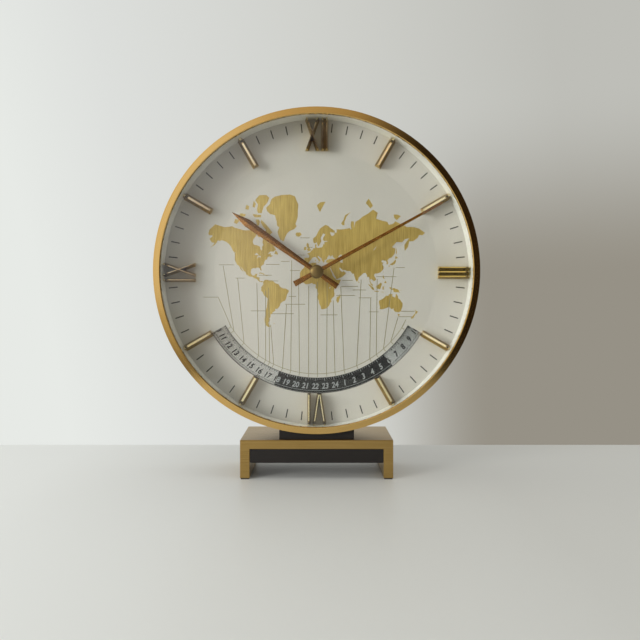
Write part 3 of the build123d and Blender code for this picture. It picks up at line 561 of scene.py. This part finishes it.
northAmerica = [
    (-168, 65.6), (-166, 68.3), (-156.5, 71.3), (-141, 69.7), (-128, 70.2), (-125, 69.5), (-115, 68.5),
    (-109, 67.9), (-101, 67.8), (-95.5, 68.2), (-94, 71.5), (-92, 69.5), (-86, 68.5), (-82, 69.3),
    (-81.5, 67.5), (-86.5, 66.4), (-90, 63.5), (-94, 61), (-94.5, 59), (-92.5, 57), (-88, 56.6),
    (-82.3, 55.1), (-82, 52.9), (-79.5, 51.2), (-79, 53.5), (-79.5, 54.7), (-77, 57), (-78.5, 58.8),
    (-77.5, 62.4), (-73.7, 62.4), (-70, 61), (-69.5, 58.8), (-66, 58.8), (-64.5, 60.4), (-62, 58),
    (-60, 55.5), (-56, 52.6), (-60, 50.2), (-66, 50.1), (-70, 47.2), (-65, 48.5), (-64.5, 46.5), (-61, 45.6),
    (-64, 44.3), (-66, 43.6), (-67, 44.8), (-70, 43.7), (-70.8, 42.5), (-70, 41.7), (-74, 40.6), (-75, 38.5),
    (-76, 37), (-75.6, 35.3), (-78.5, 33.8), (-81.3, 31.2), (-80.1, 26.8), (-80.6, 25.2), (-82, 26.7),
    (-82.8, 28.3), (-84.2, 30), (-88, 30.3), (-90, 29.1), (-93.8, 29.6), (-97, 28), (-97.5, 25.5),
    (-97.8, 22.3), (-96, 19.2), (-94.3, 18.2), (-91.5, 18.6), (-90.4, 21), (-87, 21.5), (-87.6, 19),
    (-88.5, 16), (-85, 15.9), (-83.2, 15), (-83.7, 11), (-81.6, 9), (-79.6, 9.5), (-77.4, 8.7), (-78.5, 8),
    (-80.3, 7.5), (-83, 8.3), (-85.8, 10.2), (-87.6, 12.9), (-91.5, 14), (-94.5, 16.2), (-99.7, 16.7),
    (-105.5, 20.2), (-106.5, 23.5), (-109.4, 25.7), (-112.8, 30), (-114.7, 31.7), (-112.5, 28), (-111, 25.5),
    (-109.5, 23), (-112, 25.5), (-115, 28), (-117, 32.5), (-120.6, 34.6), (-122.5, 37.5), (-124.2, 40.4),
    (-124, 46), (-124.6, 48.3), (-122.6, 48.8), (-127.5, 51), (-130, 54.5), (-133.5, 57.5), (-137, 58.8),
    (-140, 59.8), (-146, 60.8), (-149.5, 60), (-152, 60.8), (-154, 58.8), (-158, 56.5), (-163, 54.8),
    (-165, 54.5), (-161, 56), (-157.5, 58.7), (-162, 58.8), (-164.5, 60.6), (-166, 61.8), (-161.5, 63.5),
    (-161, 64.5), (-166.3, 64.5),
]
southAmerica = [
    (-77.4, 8.7), (-75.5, 10.8), (-72, 12.2), (-71.5, 11), (-70, 11.8), (-68, 10.7), (-62, 10.7), (-60, 8.5),
    (-57, 6), (-52, 4.8), (-50, 1), (-48, -0.8), (-44, -2.5), (-39.5, -3), (-35.2, -5.5), (-34.8, -8),
    (-38, -12.8), (-39, -17.5), (-41, -22), (-45, -23.7), (-48.5, -26), (-50, -30), (-53.5, -34),
    (-58, -34.3), (-57, -36.5), (-62, -38.9), (-62.5, -41), (-65, -41), (-65.5, -45), (-67.5, -46.2),
    (-65.8, -47.8), (-69, -50.8), (-68.4, -52.4), (-65.3, -54.7), (-68.5, -55.3), (-72, -54), (-74.5, -51.5),
    (-75.5, -47), (-73.5, -42), (-73.6, -37.5), (-71.5, -32), (-70.4, -23), (-70.3, -18.4), (-76, -14),
    (-79, -8), (-81.2, -6), (-80.3, -3.5), (-80.9, -1), (-79, 1.5), (-77.3, 4), (-77.9, 7.2),
]
greenland = [
    (-44, 59.9), (-48.5, 61), (-52, 64), (-53.7, 67), (-50.7, 69.5), (-54.5, 70.5), (-55, 72.5), (-58, 75.5),
    (-66, 76), (-71, 77.2), (-72.5, 78.3), (-66, 79.5), (-64, 80.8), (-58, 81.5), (-46, 81.9), (-33, 82),
    (-25, 81.6), (-22, 80.5), (-19, 79.3), (-20, 77), (-20, 75), (-22, 73), (-24, 71.5), (-22, 70.2),
    (-26, 68.5), (-33, 67.5), (-38, 65.7), (-41, 63), (-43, 60.2),
]
africa = [
    (-6, 35.8), (-2, 35.2), (3, 36.8), (10.8, 37.2), (10.2, 34.3), (15.5, 32.3), (19.5, 30.4), (20, 32.8),
    (25, 31.6), (32, 31.3), (34.2, 31.3), (32.6, 30), (35.5, 24), (37.2, 21), (37.5, 18.6), (39.5, 15.5),
    (43.3, 12), (43.2, 11.4), (51.2, 11.9), (48, 5), (44, 1.3), (41.5, -1.8), (39.5, -5), (40.6, -11),
    (40.5, -15), (36.5, -18.5), (35, -20.5), (35.5, -24), (32.8, -26), (32.6, -28), (30, -31.5), (26, -34),
    (20, -34.8), (18.3, -34), (17.5, -30.5), (15, -26.5), (14.5, -22.5), (12, -17.5), (13.7, -11),
    (12.2, -5.5), (9, -1), (9.6, 2.5), (8.8, 4.5), (5.5, 4.5), (3.5, 6.4), (-2, 4.8), (-7.6, 4.4),
    (-11, 6.8), (-13.3, 9), (-15, 11), (-17.3, 14.7), (-16.3, 19), (-17, 21), (-15.5, 24.5), (-13, 27.7),
    (-9.8, 30), (-9.5, 32), (-6.5, 34.2),
]
eurasia = [
    (-5.6, 36), (-9, 37), (-9.4, 38.8), (-9.2, 43.2), (-1.8, 43.4), (-1.2, 46), (-4.6, 48.4), (-1.5, 48.7),
    (0, 49.5), (1.7, 50.9), (4.5, 52.3), (5, 53.4), (8.5, 53.8), (8.2, 57), (10.5, 57.6), (10.8, 55.8),
    (10, 54.5), (14.2, 54), (19, 54.4), (21.2, 55.5), (21.5, 57.5), (24, 57.2), (23.6, 59.2), (28, 59.6),
    (30, 60), (25, 60.2), (22.5, 60.2), (21.3, 61.5), (22, 63), (25.3, 65), (22, 65.8), (17.5, 62.5),
    (18.8, 60), (16.5, 57.5), (14.2, 55.4), (12.8, 56), (11.2, 59), (8, 58), (5.3, 59.2), (5, 62), (10, 64),
    (13, 66.5), (16, 68.7), (21, 70.1), (26, 71), (31, 70.3), (33, 69.4), (41, 67.5), (41, 66.2), (33, 66.7),
    (34.8, 64.4), (37.5, 64), (40, 64.8), (40.5, 66.3), (44, 66.3), (44, 68.5), (50, 68.3), (54, 68.4),
    (60, 68.8), (65, 69.2), (68.5, 68.3), (67, 71), (68, 72.8), (72.7, 72.8), (72.6, 69), (75, 72.6),
    (80.5, 73.4), (87, 75), (95, 76), (104.3, 77.7), (112, 76.5), (109, 74), (113.5, 73.6), (120, 73),
    (128, 72.5), (130, 71), (137, 71.5), (141, 72.8), (150, 71.5), (160, 69.8), (170, 69.8), (180, 68.9),
    (190, 66.2), (186, 64.5), (180, 64.7), (178, 62.6), (170.5, 60), (164, 59.8), (163, 57.5), (162, 55),
    (157, 51), (155.7, 54), (156, 57), (160, 60), (164, 62.4), (157, 61.6), (152, 59), (143, 59.3),
    (135.5, 54.7), (141, 53.2), (140.3, 48.5), (135, 43.5), (130.8, 42.4), (128, 40), (129.4, 37),
    (129, 35.2), (126.4, 34.5), (126.7, 37.7), (124.5, 39.8), (121.3, 38.9), (121.5, 40.8), (117.8, 39),
    (119, 37.3), (122.3, 37.2), (119.5, 35), (121.8, 31.5), (121.6, 28.5), (119, 25.5), (116, 22.9),
    (110.5, 21.2), (108, 21.6), (105.8, 19), (109, 13.5), (109, 11.5), (105, 8.7), (105, 10.5), (102.5, 12),
    (100.5, 13.5), (99.3, 10), (100.5, 7), (103.5, 4), (104.2, 1.4), (101, 2.8), (98.5, 8), (98.5, 12),
    (97.5, 16.5), (94.3, 16), (94, 19), (91.8, 22.5), (88, 21.7), (86.8, 20.5), (82.3, 16.7), (80.2, 15),
    (80, 12.5), (77.6, 8.1), (75, 12), (72.8, 19), (72.7, 21.2), (70, 20.9), (69, 22.4), (66.7, 25),
    (61.5, 25.2), (57, 26.8), (54, 26.6), (50, 30), (48, 30), (50, 26.5), (51.5, 25), (54.2, 24.1),
    (56.3, 26.2), (56.8, 24.2), (59.8, 22.4), (57, 19), (52.2, 15.6), (45, 12.8), (43.2, 13), (42, 16.5),
    (39, 21.3), (35, 28), (34.9, 29.4), (32.6, 30), (34.2, 31.3), (35.8, 35), (36, 36.7), (30.5, 36.6),
    (27.3, 37), (26.4, 39.3), (29, 41), (35, 42), (41.5, 41.6), (37.5, 44.7), (38, 46.5), (34, 44.5),
    (31.5, 46.6), (28.6, 43.5), (28, 41.5), (26, 40.7), (24, 40.5), (23.9, 38), (22.8, 36.5), (19.5, 40.5),
    (19.4, 42), (13.7, 45.4), (12.4, 44.5), (18.4, 40), (16.8, 39.9), (15.8, 38), (12, 42), (8.9, 44.4),
    (4, 43.4), (3.1, 42), (-0.3, 39), (-2.1, 36.8),
]
australia = [
    (113.7, -22.5), (114.2, -26.3), (115.7, -32), (115.1, -34.3), (118, -35), (123.5, -33.9), (131, -31.5),
    (135.5, -34.9), (138, -33), (138.2, -35.6), (140.5, -38), (146.4, -39), (150, -37.4), (153, -31),
    (153.3, -26), (151, -23.5), (149, -20.5), (146, -18.8), (145.3, -15), (142.5, -10.8), (141.6, -14),
    (140.8, -17.5), (135.5, -15), (136.8, -12.2), (132.5, -11.5), (130.5, -12.5), (129.5, -14.9), (126, -14),
    (122.2, -18), (119, -20),
]
islands = [
    [(-24, 65.5), (-22, 66.4), (-16, 66.5), (-13.6, 65), (-18, 63.4), (-22.5, 63.9)],
    [(-5.5, 50.1), (1.3, 51.2), (1.7, 52.7), (0.2, 53), (-1.6, 55.5), (-2, 57.6), (-5, 58.6), (-6, 56.5),
     (-4.8, 54.8), (-3, 54), (-4.5, 53.2), (-5, 51.8), (-3, 51.4)],
    [(-10, 51.6), (-6.2, 52.2), (-5.6, 54.7), (-8.3, 55.2), (-10, 54)],
    [(44.5, -16.2), (47, -15.5), (49.3, -12), (50.3, -15.7), (49, -19), (47.2, -24.9), (45.2, -25.5),
     (43.4, -22)],
    [(79.9, 8.2), (80.2, 9.6), (81.7, 7.5), (80.6, 6)],
    [(140.2, 42), (141.7, 45.4), (145.3, 43.3), (143, 42.2)],
    [(131, 34.3), (133, 35.5), (136.7, 37.2), (140, 40), (140.4, 41), (141.5, 41.2), (142, 39.5),
     (140.8, 36), (138.8, 34.8), (135.8, 33.6), (133.5, 34.2)],
    [(129.8, 33), (131.8, 33.6), (131.3, 31.4), (130.2, 31.3)],
    [(142.2, 54.2), (143, 53), (143.5, 49.5), (142.5, 46.2), (141.9, 49)],
    [(120.2, 23), (121.5, 25.2), (121, 22)],
    [(108.8, 19.2), (110.8, 20), (110, 18.4)],
    [(120, 16), (120.7, 18.5), (122.2, 18.3), (121.8, 15.8), (124, 13), (121, 13.8)],
    [(122, 7.2), (123.5, 8.6), (125.5, 9.7), (126.4, 7), (125.3, 5.8)],
    [(109, 1.5), (111.5, 2.5), (113.5, 4), (116.8, 7), (119, 5), (117.8, 1), (116, -4), (110.3, -2.9)],
    [(119.5, -3.5), (119.8, 0.5), (121, 1.2), (125, 1.6), (120.8, 0.3), (123.3, -1), (121.5, -1.8),
     (122.8, -4.3), (121.5, -4.5), (120.4, -3), (120.3, -5.6)],
    [(95.3, 5.6), (98, 4), (103.5, 0), (106, -3), (105.6, -5.8), (102, -3.6), (98.5, 1.5)],
    [(105.2, -6.4), (112.5, -6.8), (114.5, -7.8), (111, -8.4), (106.5, -7.5)],
    [(115.5, -8.1), (119, -8.1), (123, -8.4), (121, -9.1)],
    [(123.5, -10.3), (127, -8.4), (125.5, -9.6)],
    [(131, -0.8), (134, -0.8), (135.5, -3.3), (138, -1.7), (144.5, -3.9), (147.5, -6), (147.3, -8),
     (150.5, -10.6), (146, -8.8), (143, -9.2), (138, -8.3), (137.8, -5.3), (133, -4), (132, -2.7)],
    [(148.5, -5.6), (152, -4.4), (151, -6)],
    [(172.8, -34.5), (175.5, -36.8), (178.4, -37.8), (176.8, -40), (175, -41.5), (173.8, -39.3),
     (174.7, -37.5)],
    [(172.8, -40.6), (174.2, -41.8), (170.8, -45.8), (168.5, -46.6), (166.6, -45.8), (171, -42.5)],
    [(144.7, -40.8), (148.3, -40.9), (147.9, -43), (146, -43.5)],
    [(-85, 21.9), (-82.5, 23.2), (-77, 21.7), (-74.3, 20.2), (-77.5, 19.9), (-78.5, 21)],
    [(-74.4, 18.4), (-73, 19.9), (-68.5, 18.6), (-71.5, 17.7)],
    [(11, 79), (17, 80), (26, 80.2), (20, 78.3), (16.5, 76.7)],
    [(51.5, 71.8), (55, 73.3), (58, 75.5), (68, 76.9), (61, 75.3), (57, 72.5), (57, 70.7), (53.5, 70.8)],
    [(92, 79.8), (97, 81), (104, 79), (100, 78)],
    [(138, 75.8), (145, 75.8), (150, 75.1), (143, 73.3), (139, 74.5)],
    [(-62, 66.5), (-65, 68), (-71, 70.6), (-77, 72.6), (-80.5, 73.5), (-81, 72.2), (-78, 70.3), (-73, 68.2),
     (-73, 66), (-78, 64.6), (-72, 62.8), (-66, 62), (-68, 64)],
    [(-89.5, 73.6), (-85, 73.7), (-82.5, 72.6), (-84.5, 70.4), (-87.5, 71)],
    [(-86, 76.4), (-80, 76.3), (-76.5, 78.6), (-70, 80), (-67, 81.2), (-72, 81.9), (-84, 81.8),
     (-90.5, 80.6), (-86, 79.4), (-87.5, 77.6)],
    [(-95, 78.6), (-91, 78.3), (-89.5, 79.6), (-93, 80.4)],
    [(-107, 77.8), (-101.5, 77.6), (-100, 78.8), (-105, 79.2)],
    [(-117, 70), (-118.5, 72.5), (-110, 73), (-105, 73), (-101.5, 70), (-105, 68.8), (-113, 68.5)],
    [(-125.5, 72), (-123.5, 74), (-116, 73.3), (-121, 71.4)],
    [(-95, 76), (-80.5, 75.6), (-81, 74.6), (-92, 74.7)],
    [(-117, 75), (-115, 76.3), (-106, 76), (-107, 75)],
    [(-87, 64), (-84, 65.8), (-80.3, 63.8), (-84, 62.9)],
    [(-59.2, 47.8), (-56.5, 51.5), (-53, 48.5), (-53.2, 46.8)],
    [(-128.3, 50.7), (-125, 49.8), (-123.5, 48.4)],
    [(12.4, 38), (15.5, 38.2), (15, 36.8)],
    [(8.4, 39), (8.3, 41), (9.7, 41), (9.5, 39.2)],
    [(-61, -51.5), (-58, -51.4), (-59.5, -52.2)],
]
lakes = [
    [(47, 45), (50, 47), (53, 46.8), (51, 44.5), (54.5, 42), (53.7, 39), (54, 37), (50, 37.5), (49.5, 40.5),
     (47.5, 43)],
    [(-92, 46.8), (-88, 48.8), (-84.5, 46.6), (-88, 46.5)],
    [(-87.8, 42), (-86, 46), (-81, 45), (-82.5, 43.2), (-84.5, 45.2), (-86.2, 43)],
    [(104, 51.5), (107, 52.3), (109.8, 55.6), (108.3, 54.5)],
    [(31.8, -0.8), (34, -0.2), (33.4, -2.6), (32, -2.4)],
    [(58.4, 45.6), (61, 46.5), (61.2, 44.2), (59, 44)],
]


def coast(outline):
    # a coast by Mercator's projection, with a slight wander as a real shore has
    places = []
    for lon, lat in outline:
        north = math.log(math.tan(math.radians(45 + lat / 2)))
        places.append(Vector((mapPrint["centreX"] + mapPrint["perDegree"] * lon,
                              mapPrint["equatorZ"] + mapPrint["stretch"] * north)))
    shore = []
    for here, after in zip(places, places[1:] + places[:1]):
        run = after - here
        count = max(1, round(run.length / mapPrint["stepLength"]))
        for i in range(count):
            spot = here + run * i / count
            wobble = noise.noise(Vector((spot.x, spot.y, 0)) * mapPrint["wanderSize"]) * mapPrint["wander"]
            aside = Vector((-run.y, run.x)).normalized() * wobble * (i > 0)
            shore.append(tuple(spot + aside))
    return shore


landOutlines = [northAmerica, southAmerica, greenland, africa, eurasia, australia] + islands + lakes
printShape("world_map", [coast(outline) for outline in landOutlines], mapPrint["height"],
           makeSurface("bronzeMapInk", mapInk), onDial)

# Leader lines drop from a place on the map to the hour arc: x and z of the top, then x at the foot, in mm
leader = {"width": 0.5, "height": 0.05, "arcRadius": 81.1, "arcWidth": 0.4, "arcHeight": 0.04,
          "arcHalfAngle": 59.5, "tickGap": 0.08, "tickEnd": 83.8, "ruleWidth": 0.45, "ruleHeight": 0.035}
leaderTops = [
    (-78.8, -19.7, -68.5), (-74.8, 5.4, -66.3), (-63.2, -4.5, -58.2), (-47.9, -8.4, -46.5),
    (-40.9, -14.6, -40.9), (-38.5, -12.2, -37.7), (-36.8, -41.8, -34.5), (-24.2, -25.8, -27.4),
    (-20, 9.7, -20.8), (-14.5, -7.7, -13.8), (-6.4, -10.6, -6.5), (0.5, -7.4, 0.5), (8.4, -2.6, 7.9),
    (13.2, -22.3, 14.6), (19.2, -11.4, 21.9), (35.5, -5.8, 32), (43.2, -20.2, 42.4), (48.3, -5, 47.6),
    (61.8, 3.8, 53.4), (65, -35.9, 59.2), (71.3, -37.8, 68),
]
# Plain short rules beside the leader lines: (x from, x to, z)
labelRules = [
    (-90.7, -78.8, -19.7), (-78.1, -66.2, 6.1), (-64.9, -57.6, -4.5), (-52.9, -41.3, -30.7),
    (-35.7, -18.4, -33), (-25.2, -9.2, -25.4), (-22.4, -16.5, -19.1), (-40.6, -29.7, 6.4),
    (-28.5, -21.7, 8.8), (-37.7, -30.7, -6.8), (-46.3, -36, -2.2), (-21.3, -13.3, 1.5), (19.5, 33, -11.1),
    (28.7, 39.3, -14), (33.5, 43.7, -20.3), (47.6, 63.6, -3.4), (63.1, 70.4, 3.9), (65, 76.2, -35.4),
    (41.7, 49.5, -31.5), (67.4, 78.1, -31), (15.6, 30.6, -18.4), (3, 16.5, -33.9), (20.4, 28.7, -6.3),
    (-13.3, -5.6, 27.6), (-7.9, -3.3, 20.1), (-16.5, -9.3, 13.9),
]

leaderLines = []
arcOuter = leader["arcRadius"] + leader["arcWidth"] / 2
scaleArc = [band(arcOuter - leader["arcWidth"], arcOuter,
                 180 - leader["arcHalfAngle"], 180 + leader["arcHalfAngle"])]
for topX, topZ, footX in leaderTops:
    footZ = -math.sqrt(leader["arcRadius"] ** 2 - footX ** 2)
    leaderLines.append(strip((topX, topZ), (footX, footZ), leader["width"]))
    angle = 180 - math.degrees(math.asin(footX / leader["arcRadius"]))
    scaleArc.append(spoke(arcOuter + leader["tickGap"], leader["tickEnd"], angle, leader["width"]))
rules = [strip((first, z), (last, z), leader["ruleWidth"]) for first, last, z in labelRules]
printShape("leader_lines", leaderLines, leader["height"], lineFinish, onDial)
printShape("hour_arc", scaleArc, leader["arcHeight"], lineFinish, onDial)
printShape("label_rules", rules, leader["ruleHeight"], lineFinish, onDial)

# Window in the dial: a thin dark band along its cut edge is painted shade
windowEdgeShade = {"inner": 84.6, "outer": 96.3, "halfAngle": 60.0, "width": 0.42, "height": 0.04}
first, last = 180 - windowEdgeShade["halfAngle"], 180 + windowEdgeShade["halfAngle"]
windowShadeParts = [band(windowEdgeShade["inner"] - windowEdgeShade["width"], windowEdgeShade["inner"], first, last),
             band(windowEdgeShade["outer"], windowEdgeShade["outer"] + windowEdgeShade["width"], first, last)]
printShape("window_edge_shade", windowShadeParts, windowEdgeShade["height"], darkFinish, onDial)

# Roots between the side by side strokes of XII and III: dark wedges that fill the gaps between the strokes,
# as painted shade
gapShadeLook = {"light": "#79602c", "dark": "#5f4b22", "rough": (0.14, 0.24), "metal": 1, "grain": (3, 3, 3)}
# each place is (angle, offset from the mark's middle, width at the top)
markGapShade = {"places": [(0, 6.275, 1.78), (90, -1.75, 2.08), (90, 1.75, 2.08)], "inner": 96.7, "outer": 120.8,
             "height": 6.5, "rootShare": 0.29}


def makeMarkRoots():
    # dark wedges filling the gaps between strokes: painted shade
    shape = bmesh.new()
    for angle, offset, topWidth in markGapShade["places"]:
        x, z = polar(1, angle)
        ends = []
        for radius in (markGapShade["inner"], markGapShade["outer"]):
            corners = []
            for side, height in ((-1, 0), (1, 0), (1, 1), (-1, 1)):
                width = topWidth * (1 if height else markGapShade["rootShare"])
                across = offset + side * width / 2
                corners.append(shape.verts.new(((x * radius + z * across) * mm,
                                                dialFace - height * markGapShade["height"] * mm,
                                                axisHeight + (z * radius - x * across) * mm)))
            ends.append(corners)
            shape.faces.new(corners)
        for i in range(4):
            j = (i + 1) % 4
            shape.faces.new([ends[0][i], ends[0][j], ends[1][j], ends[1][i]])
    bmesh.ops.recalc_face_normals(shape, faces=shape.faces)
    placePiece("mark_gap_shade", meshFrom("mark_gap_shade", shape), makeSurface("paintedGapShade", gapShadeLook), "case")


makeMarkRoots()
print("dial printed")

# World ring: three days of 24 hours, night on black and day on silver
hourPrint = {
    "hours": 72, "inner": 83.0, "outer": 97.9, "hourStep": 5.0, "hourAtFoot": 22, "footShift": 0.83,
    "ground": 0.03, "ink": 0.06, "tickInner": 84.0, "tickOuter": 87.0, "tickWidth": 0.42,
    "quarterOuter": 85.9, "quarterWidth": 0.34, "lineRadius": 94.6, "lineWidth": 0.28,
    "numberRadius": 91.4, "numberHeight": 4.5, "numberWidthShare": 0.88, "slant": 0.16, "boldness": 0.18,
    "figureShare": 0.72,  # how tall a figure is in the font's size
}

# Ring inks, screened: the day smooth silver under black, the night matt black under grey, and specks 0.5 mm
# across in all of them, which run between each pair of colours
groundInk = {"day": ("#c2c3c0", "#b8b9b6"), "night": ("#121213", "#0c0c0d"), "dayMetal": 0.85,
             "dayRough": 0.10, "nightRough": 0.6}
figureInk = {"day": ("#080808", "#040404"), "night": ("#979a99", "#8c8f8e"), "dayMetal": 0.0,
             "dayRough": 0.6, "nightRough": 0.6}
ringInks = {"speckRough": 0.05, "speckSize": 0.5, "ior": 1.25, "halfDay": 12, "dawn": 6}


def hourAngle(hour):
    # hours run anticlockwise round the foot of the dial, because the ring's numbers rise to the right
    return 180 + hourPrint["footShift"] - (hour - hourPrint["hourAtFoot"]) * hourPrint["hourStep"]


def makeRingInk(name, ink):
    # two colours that change over at 18 and at 6, worked out from the angle round the ring
    material, tree, shader = newMaterial(name)
    place = addNode(tree, "TexCoord").outputs["Object"]
    away = addNode(tree, "VectorMath", {"operation": "SUBTRACT", 0: place, 1: (0, 0, axisHeight)})
    # hours since the middle of a night, folded into one day
    midnight = math.radians(hourAngle(24))
    since = addNode(tree, "Math", {"operation": "SUBTRACT", 0: turnOf(tree, away), 1: midnight})
    hours = addNode(tree, "Math", {"operation": "DIVIDE", 0: since, 1: math.radians(hourPrint["hourStep"])})
    folded = addNode(tree, "Math", {"operation": "PINGPONG", 0: hours, 1: ringInks["halfDay"]})
    isDay = addNode(tree, "Math", {"operation": "GREATER_THAN", 0: folded, 1: ringInks["dawn"]})
    specks = addNode(tree, "TexNoise", {"Vector": place, "Scale": 1 / (ringInks["speckSize"] * mm),
                                        "Detail": 2.0})
    night, day = [addNode(tree, "Mix", {"data_type": "RGBA", 0: specks, 6: linear(low), 7: linear(high)})
                  for low, high in (ink["night"], ink["day"])]
    tone = addNode(tree, "Mix", {"data_type": "RGBA", 0: isDay, 6: night, 7: day})
    shine = addNode(tree, "Math", {"operation": "MULTIPLY", 0: isDay, 1: ink["dayMetal"]})
    matt = addNode(tree, "MapRange", {"To Min": ink["nightRough"], "To Max": ink["dayRough"], "Value": isDay})
    dull = addNode(tree, "Math", {"operation": "MULTIPLY_ADD", 0: specks, 1: ringInks["speckRough"], 2: matt})
    feedNode(shader, {"Base Color": tone, "Metallic": shine, "Roughness": dull, "IOR": ringInks["ior"]})
    return material


def quarterBands(inner, outer, gap=0.01):
    # a full ring in four parts, with a hair's gap in degrees
    return [band(inner, outer, start, start + 90 - gap) for start in (0, 90, 180, 270)]


def ringFigure(hour):
    # a number, upright at its place: tops towards the axis at the foot of the dial
    text = bpy.data.curves.new("figure", "FONT")
    text.body = str(hour % 24 or 24)
    text.size = hourPrint["numberHeight"] / hourPrint["figureShare"] * mm
    text.align_x = "CENTER"
    text.align_y = "CENTER"
    text.shear = hourPrint["slant"]
    text.extrude = hourPrint["ink"] * mm / 2
    text.offset = hourPrint["boldness"] * mm
    text.resolution_u = 3
    mesh = meshOf(text)
    x, z = polar(hourPrint["numberRadius"], hourAngle(hour))
    spin = Matrix.Rotation(math.radians(180 - hourAngle(hour)), 4, "Z")
    narrow = Matrix.Diagonal((hourPrint["numberWidthShare"], 1, 1, 1))
    mesh.transform(Matrix.Translation((x * mm, z * mm, 0)) @ spin @ narrow)
    return mesh


figureFinish = makeRingInk("ringFigureInk", figureInk)
printShape("ring_ground", quarterBands(hourPrint["inner"], hourPrint["outer"]), hourPrint["ground"],
           makeRingInk("ringGroundInk", groundInk), onRing)

ringMarks = []
figureShapes = bmesh.new()
for hour in range(hourPrint["hours"]):
    ringMarks.append(spoke(hourPrint["tickInner"], hourPrint["tickOuter"], hourAngle(hour),
                           hourPrint["tickWidth"]))
    for quarter in (0.25, 0.5, 0.75):
        ringMarks.append(spoke(hourPrint["tickInner"], hourPrint["quarterOuter"], hourAngle(hour + quarter),
                               hourPrint["quarterWidth"]))
    mesh = ringFigure(hour)
    figureShapes.from_mesh(mesh)
    bpy.data.meshes.remove(mesh)
ringMarks += quarterBands(hourPrint["lineRadius"], hourPrint["lineRadius"] + hourPrint["lineWidth"])
printShape("ring_ticks", ringMarks, hourPrint["ink"], figureFinish, onRing)
layPrint("ring_figures", meshFrom("ring_figures", figureShapes), hourPrint["ink"], figureFinish, onRing)
print("world ring printed")

# Cap over the hands: a low dome with a rolled edge, in the space of the plain solid
handCap = {"sides": 96, "steps": 10, "domeShare": 0.94, "riseShare": 0.6, "backShare": 0.96,
           "edgeRadius": 0.5}


def lathe(profile, sides):
    # a turned solid about the clock's axis: profile is (radius, y) in metres, from front to back
    shape = bmesh.new()
    rows = []
    for radius, y in profile:
        count = sides if radius else 1
        turns = [2 * math.pi * i / count for i in range(count)]
        rows.append([shape.verts.new((radius * math.cos(a), y, axisHeight + radius * math.sin(a)))
                     for a in turns])
    for first, second in zip(rows, rows[1:]):
        for i in range(sides):
            j = (i + 1) % sides
            corners = [first[i % len(first)], first[j % len(first)],
                       second[j % len(second)], second[i % len(second)]]
            shape.faces.new(list(dict.fromkeys(corners)))
    bmesh.ops.recalc_face_normals(shape, faces=shape.faces)
    for face in shape.faces:
        face.smooth = True
    return shape


def makeCap():
    radius = (capHigh.x - capLow.x) / 2
    rise = (capHigh.y - capLow.y) * handCap["riseShare"]
    edge = handCap["edgeRadius"] * mm
    turns = [math.pi / 2 * i / handCap["steps"] for i in range(handCap["steps"] + 1)]
    profile = [(radius * handCap["domeShare"] * math.sin(a), capLow.y + rise * (1 - math.cos(a)))
               for a in turns]
    profile += [(radius, capLow.y + rise + edge), (radius, capHigh.y - edge / 2),
                (radius * handCap["backShare"], capHigh.y), (0, capHigh.y)]
    mesh = meshFrom("polished_hand_cap", lathe(profile, handCap["sides"]))
    placePiece("polished_hand_cap", mesh, capFinish, "minute_work", ("hand_cap",))


makeCap()
print("cap turned")
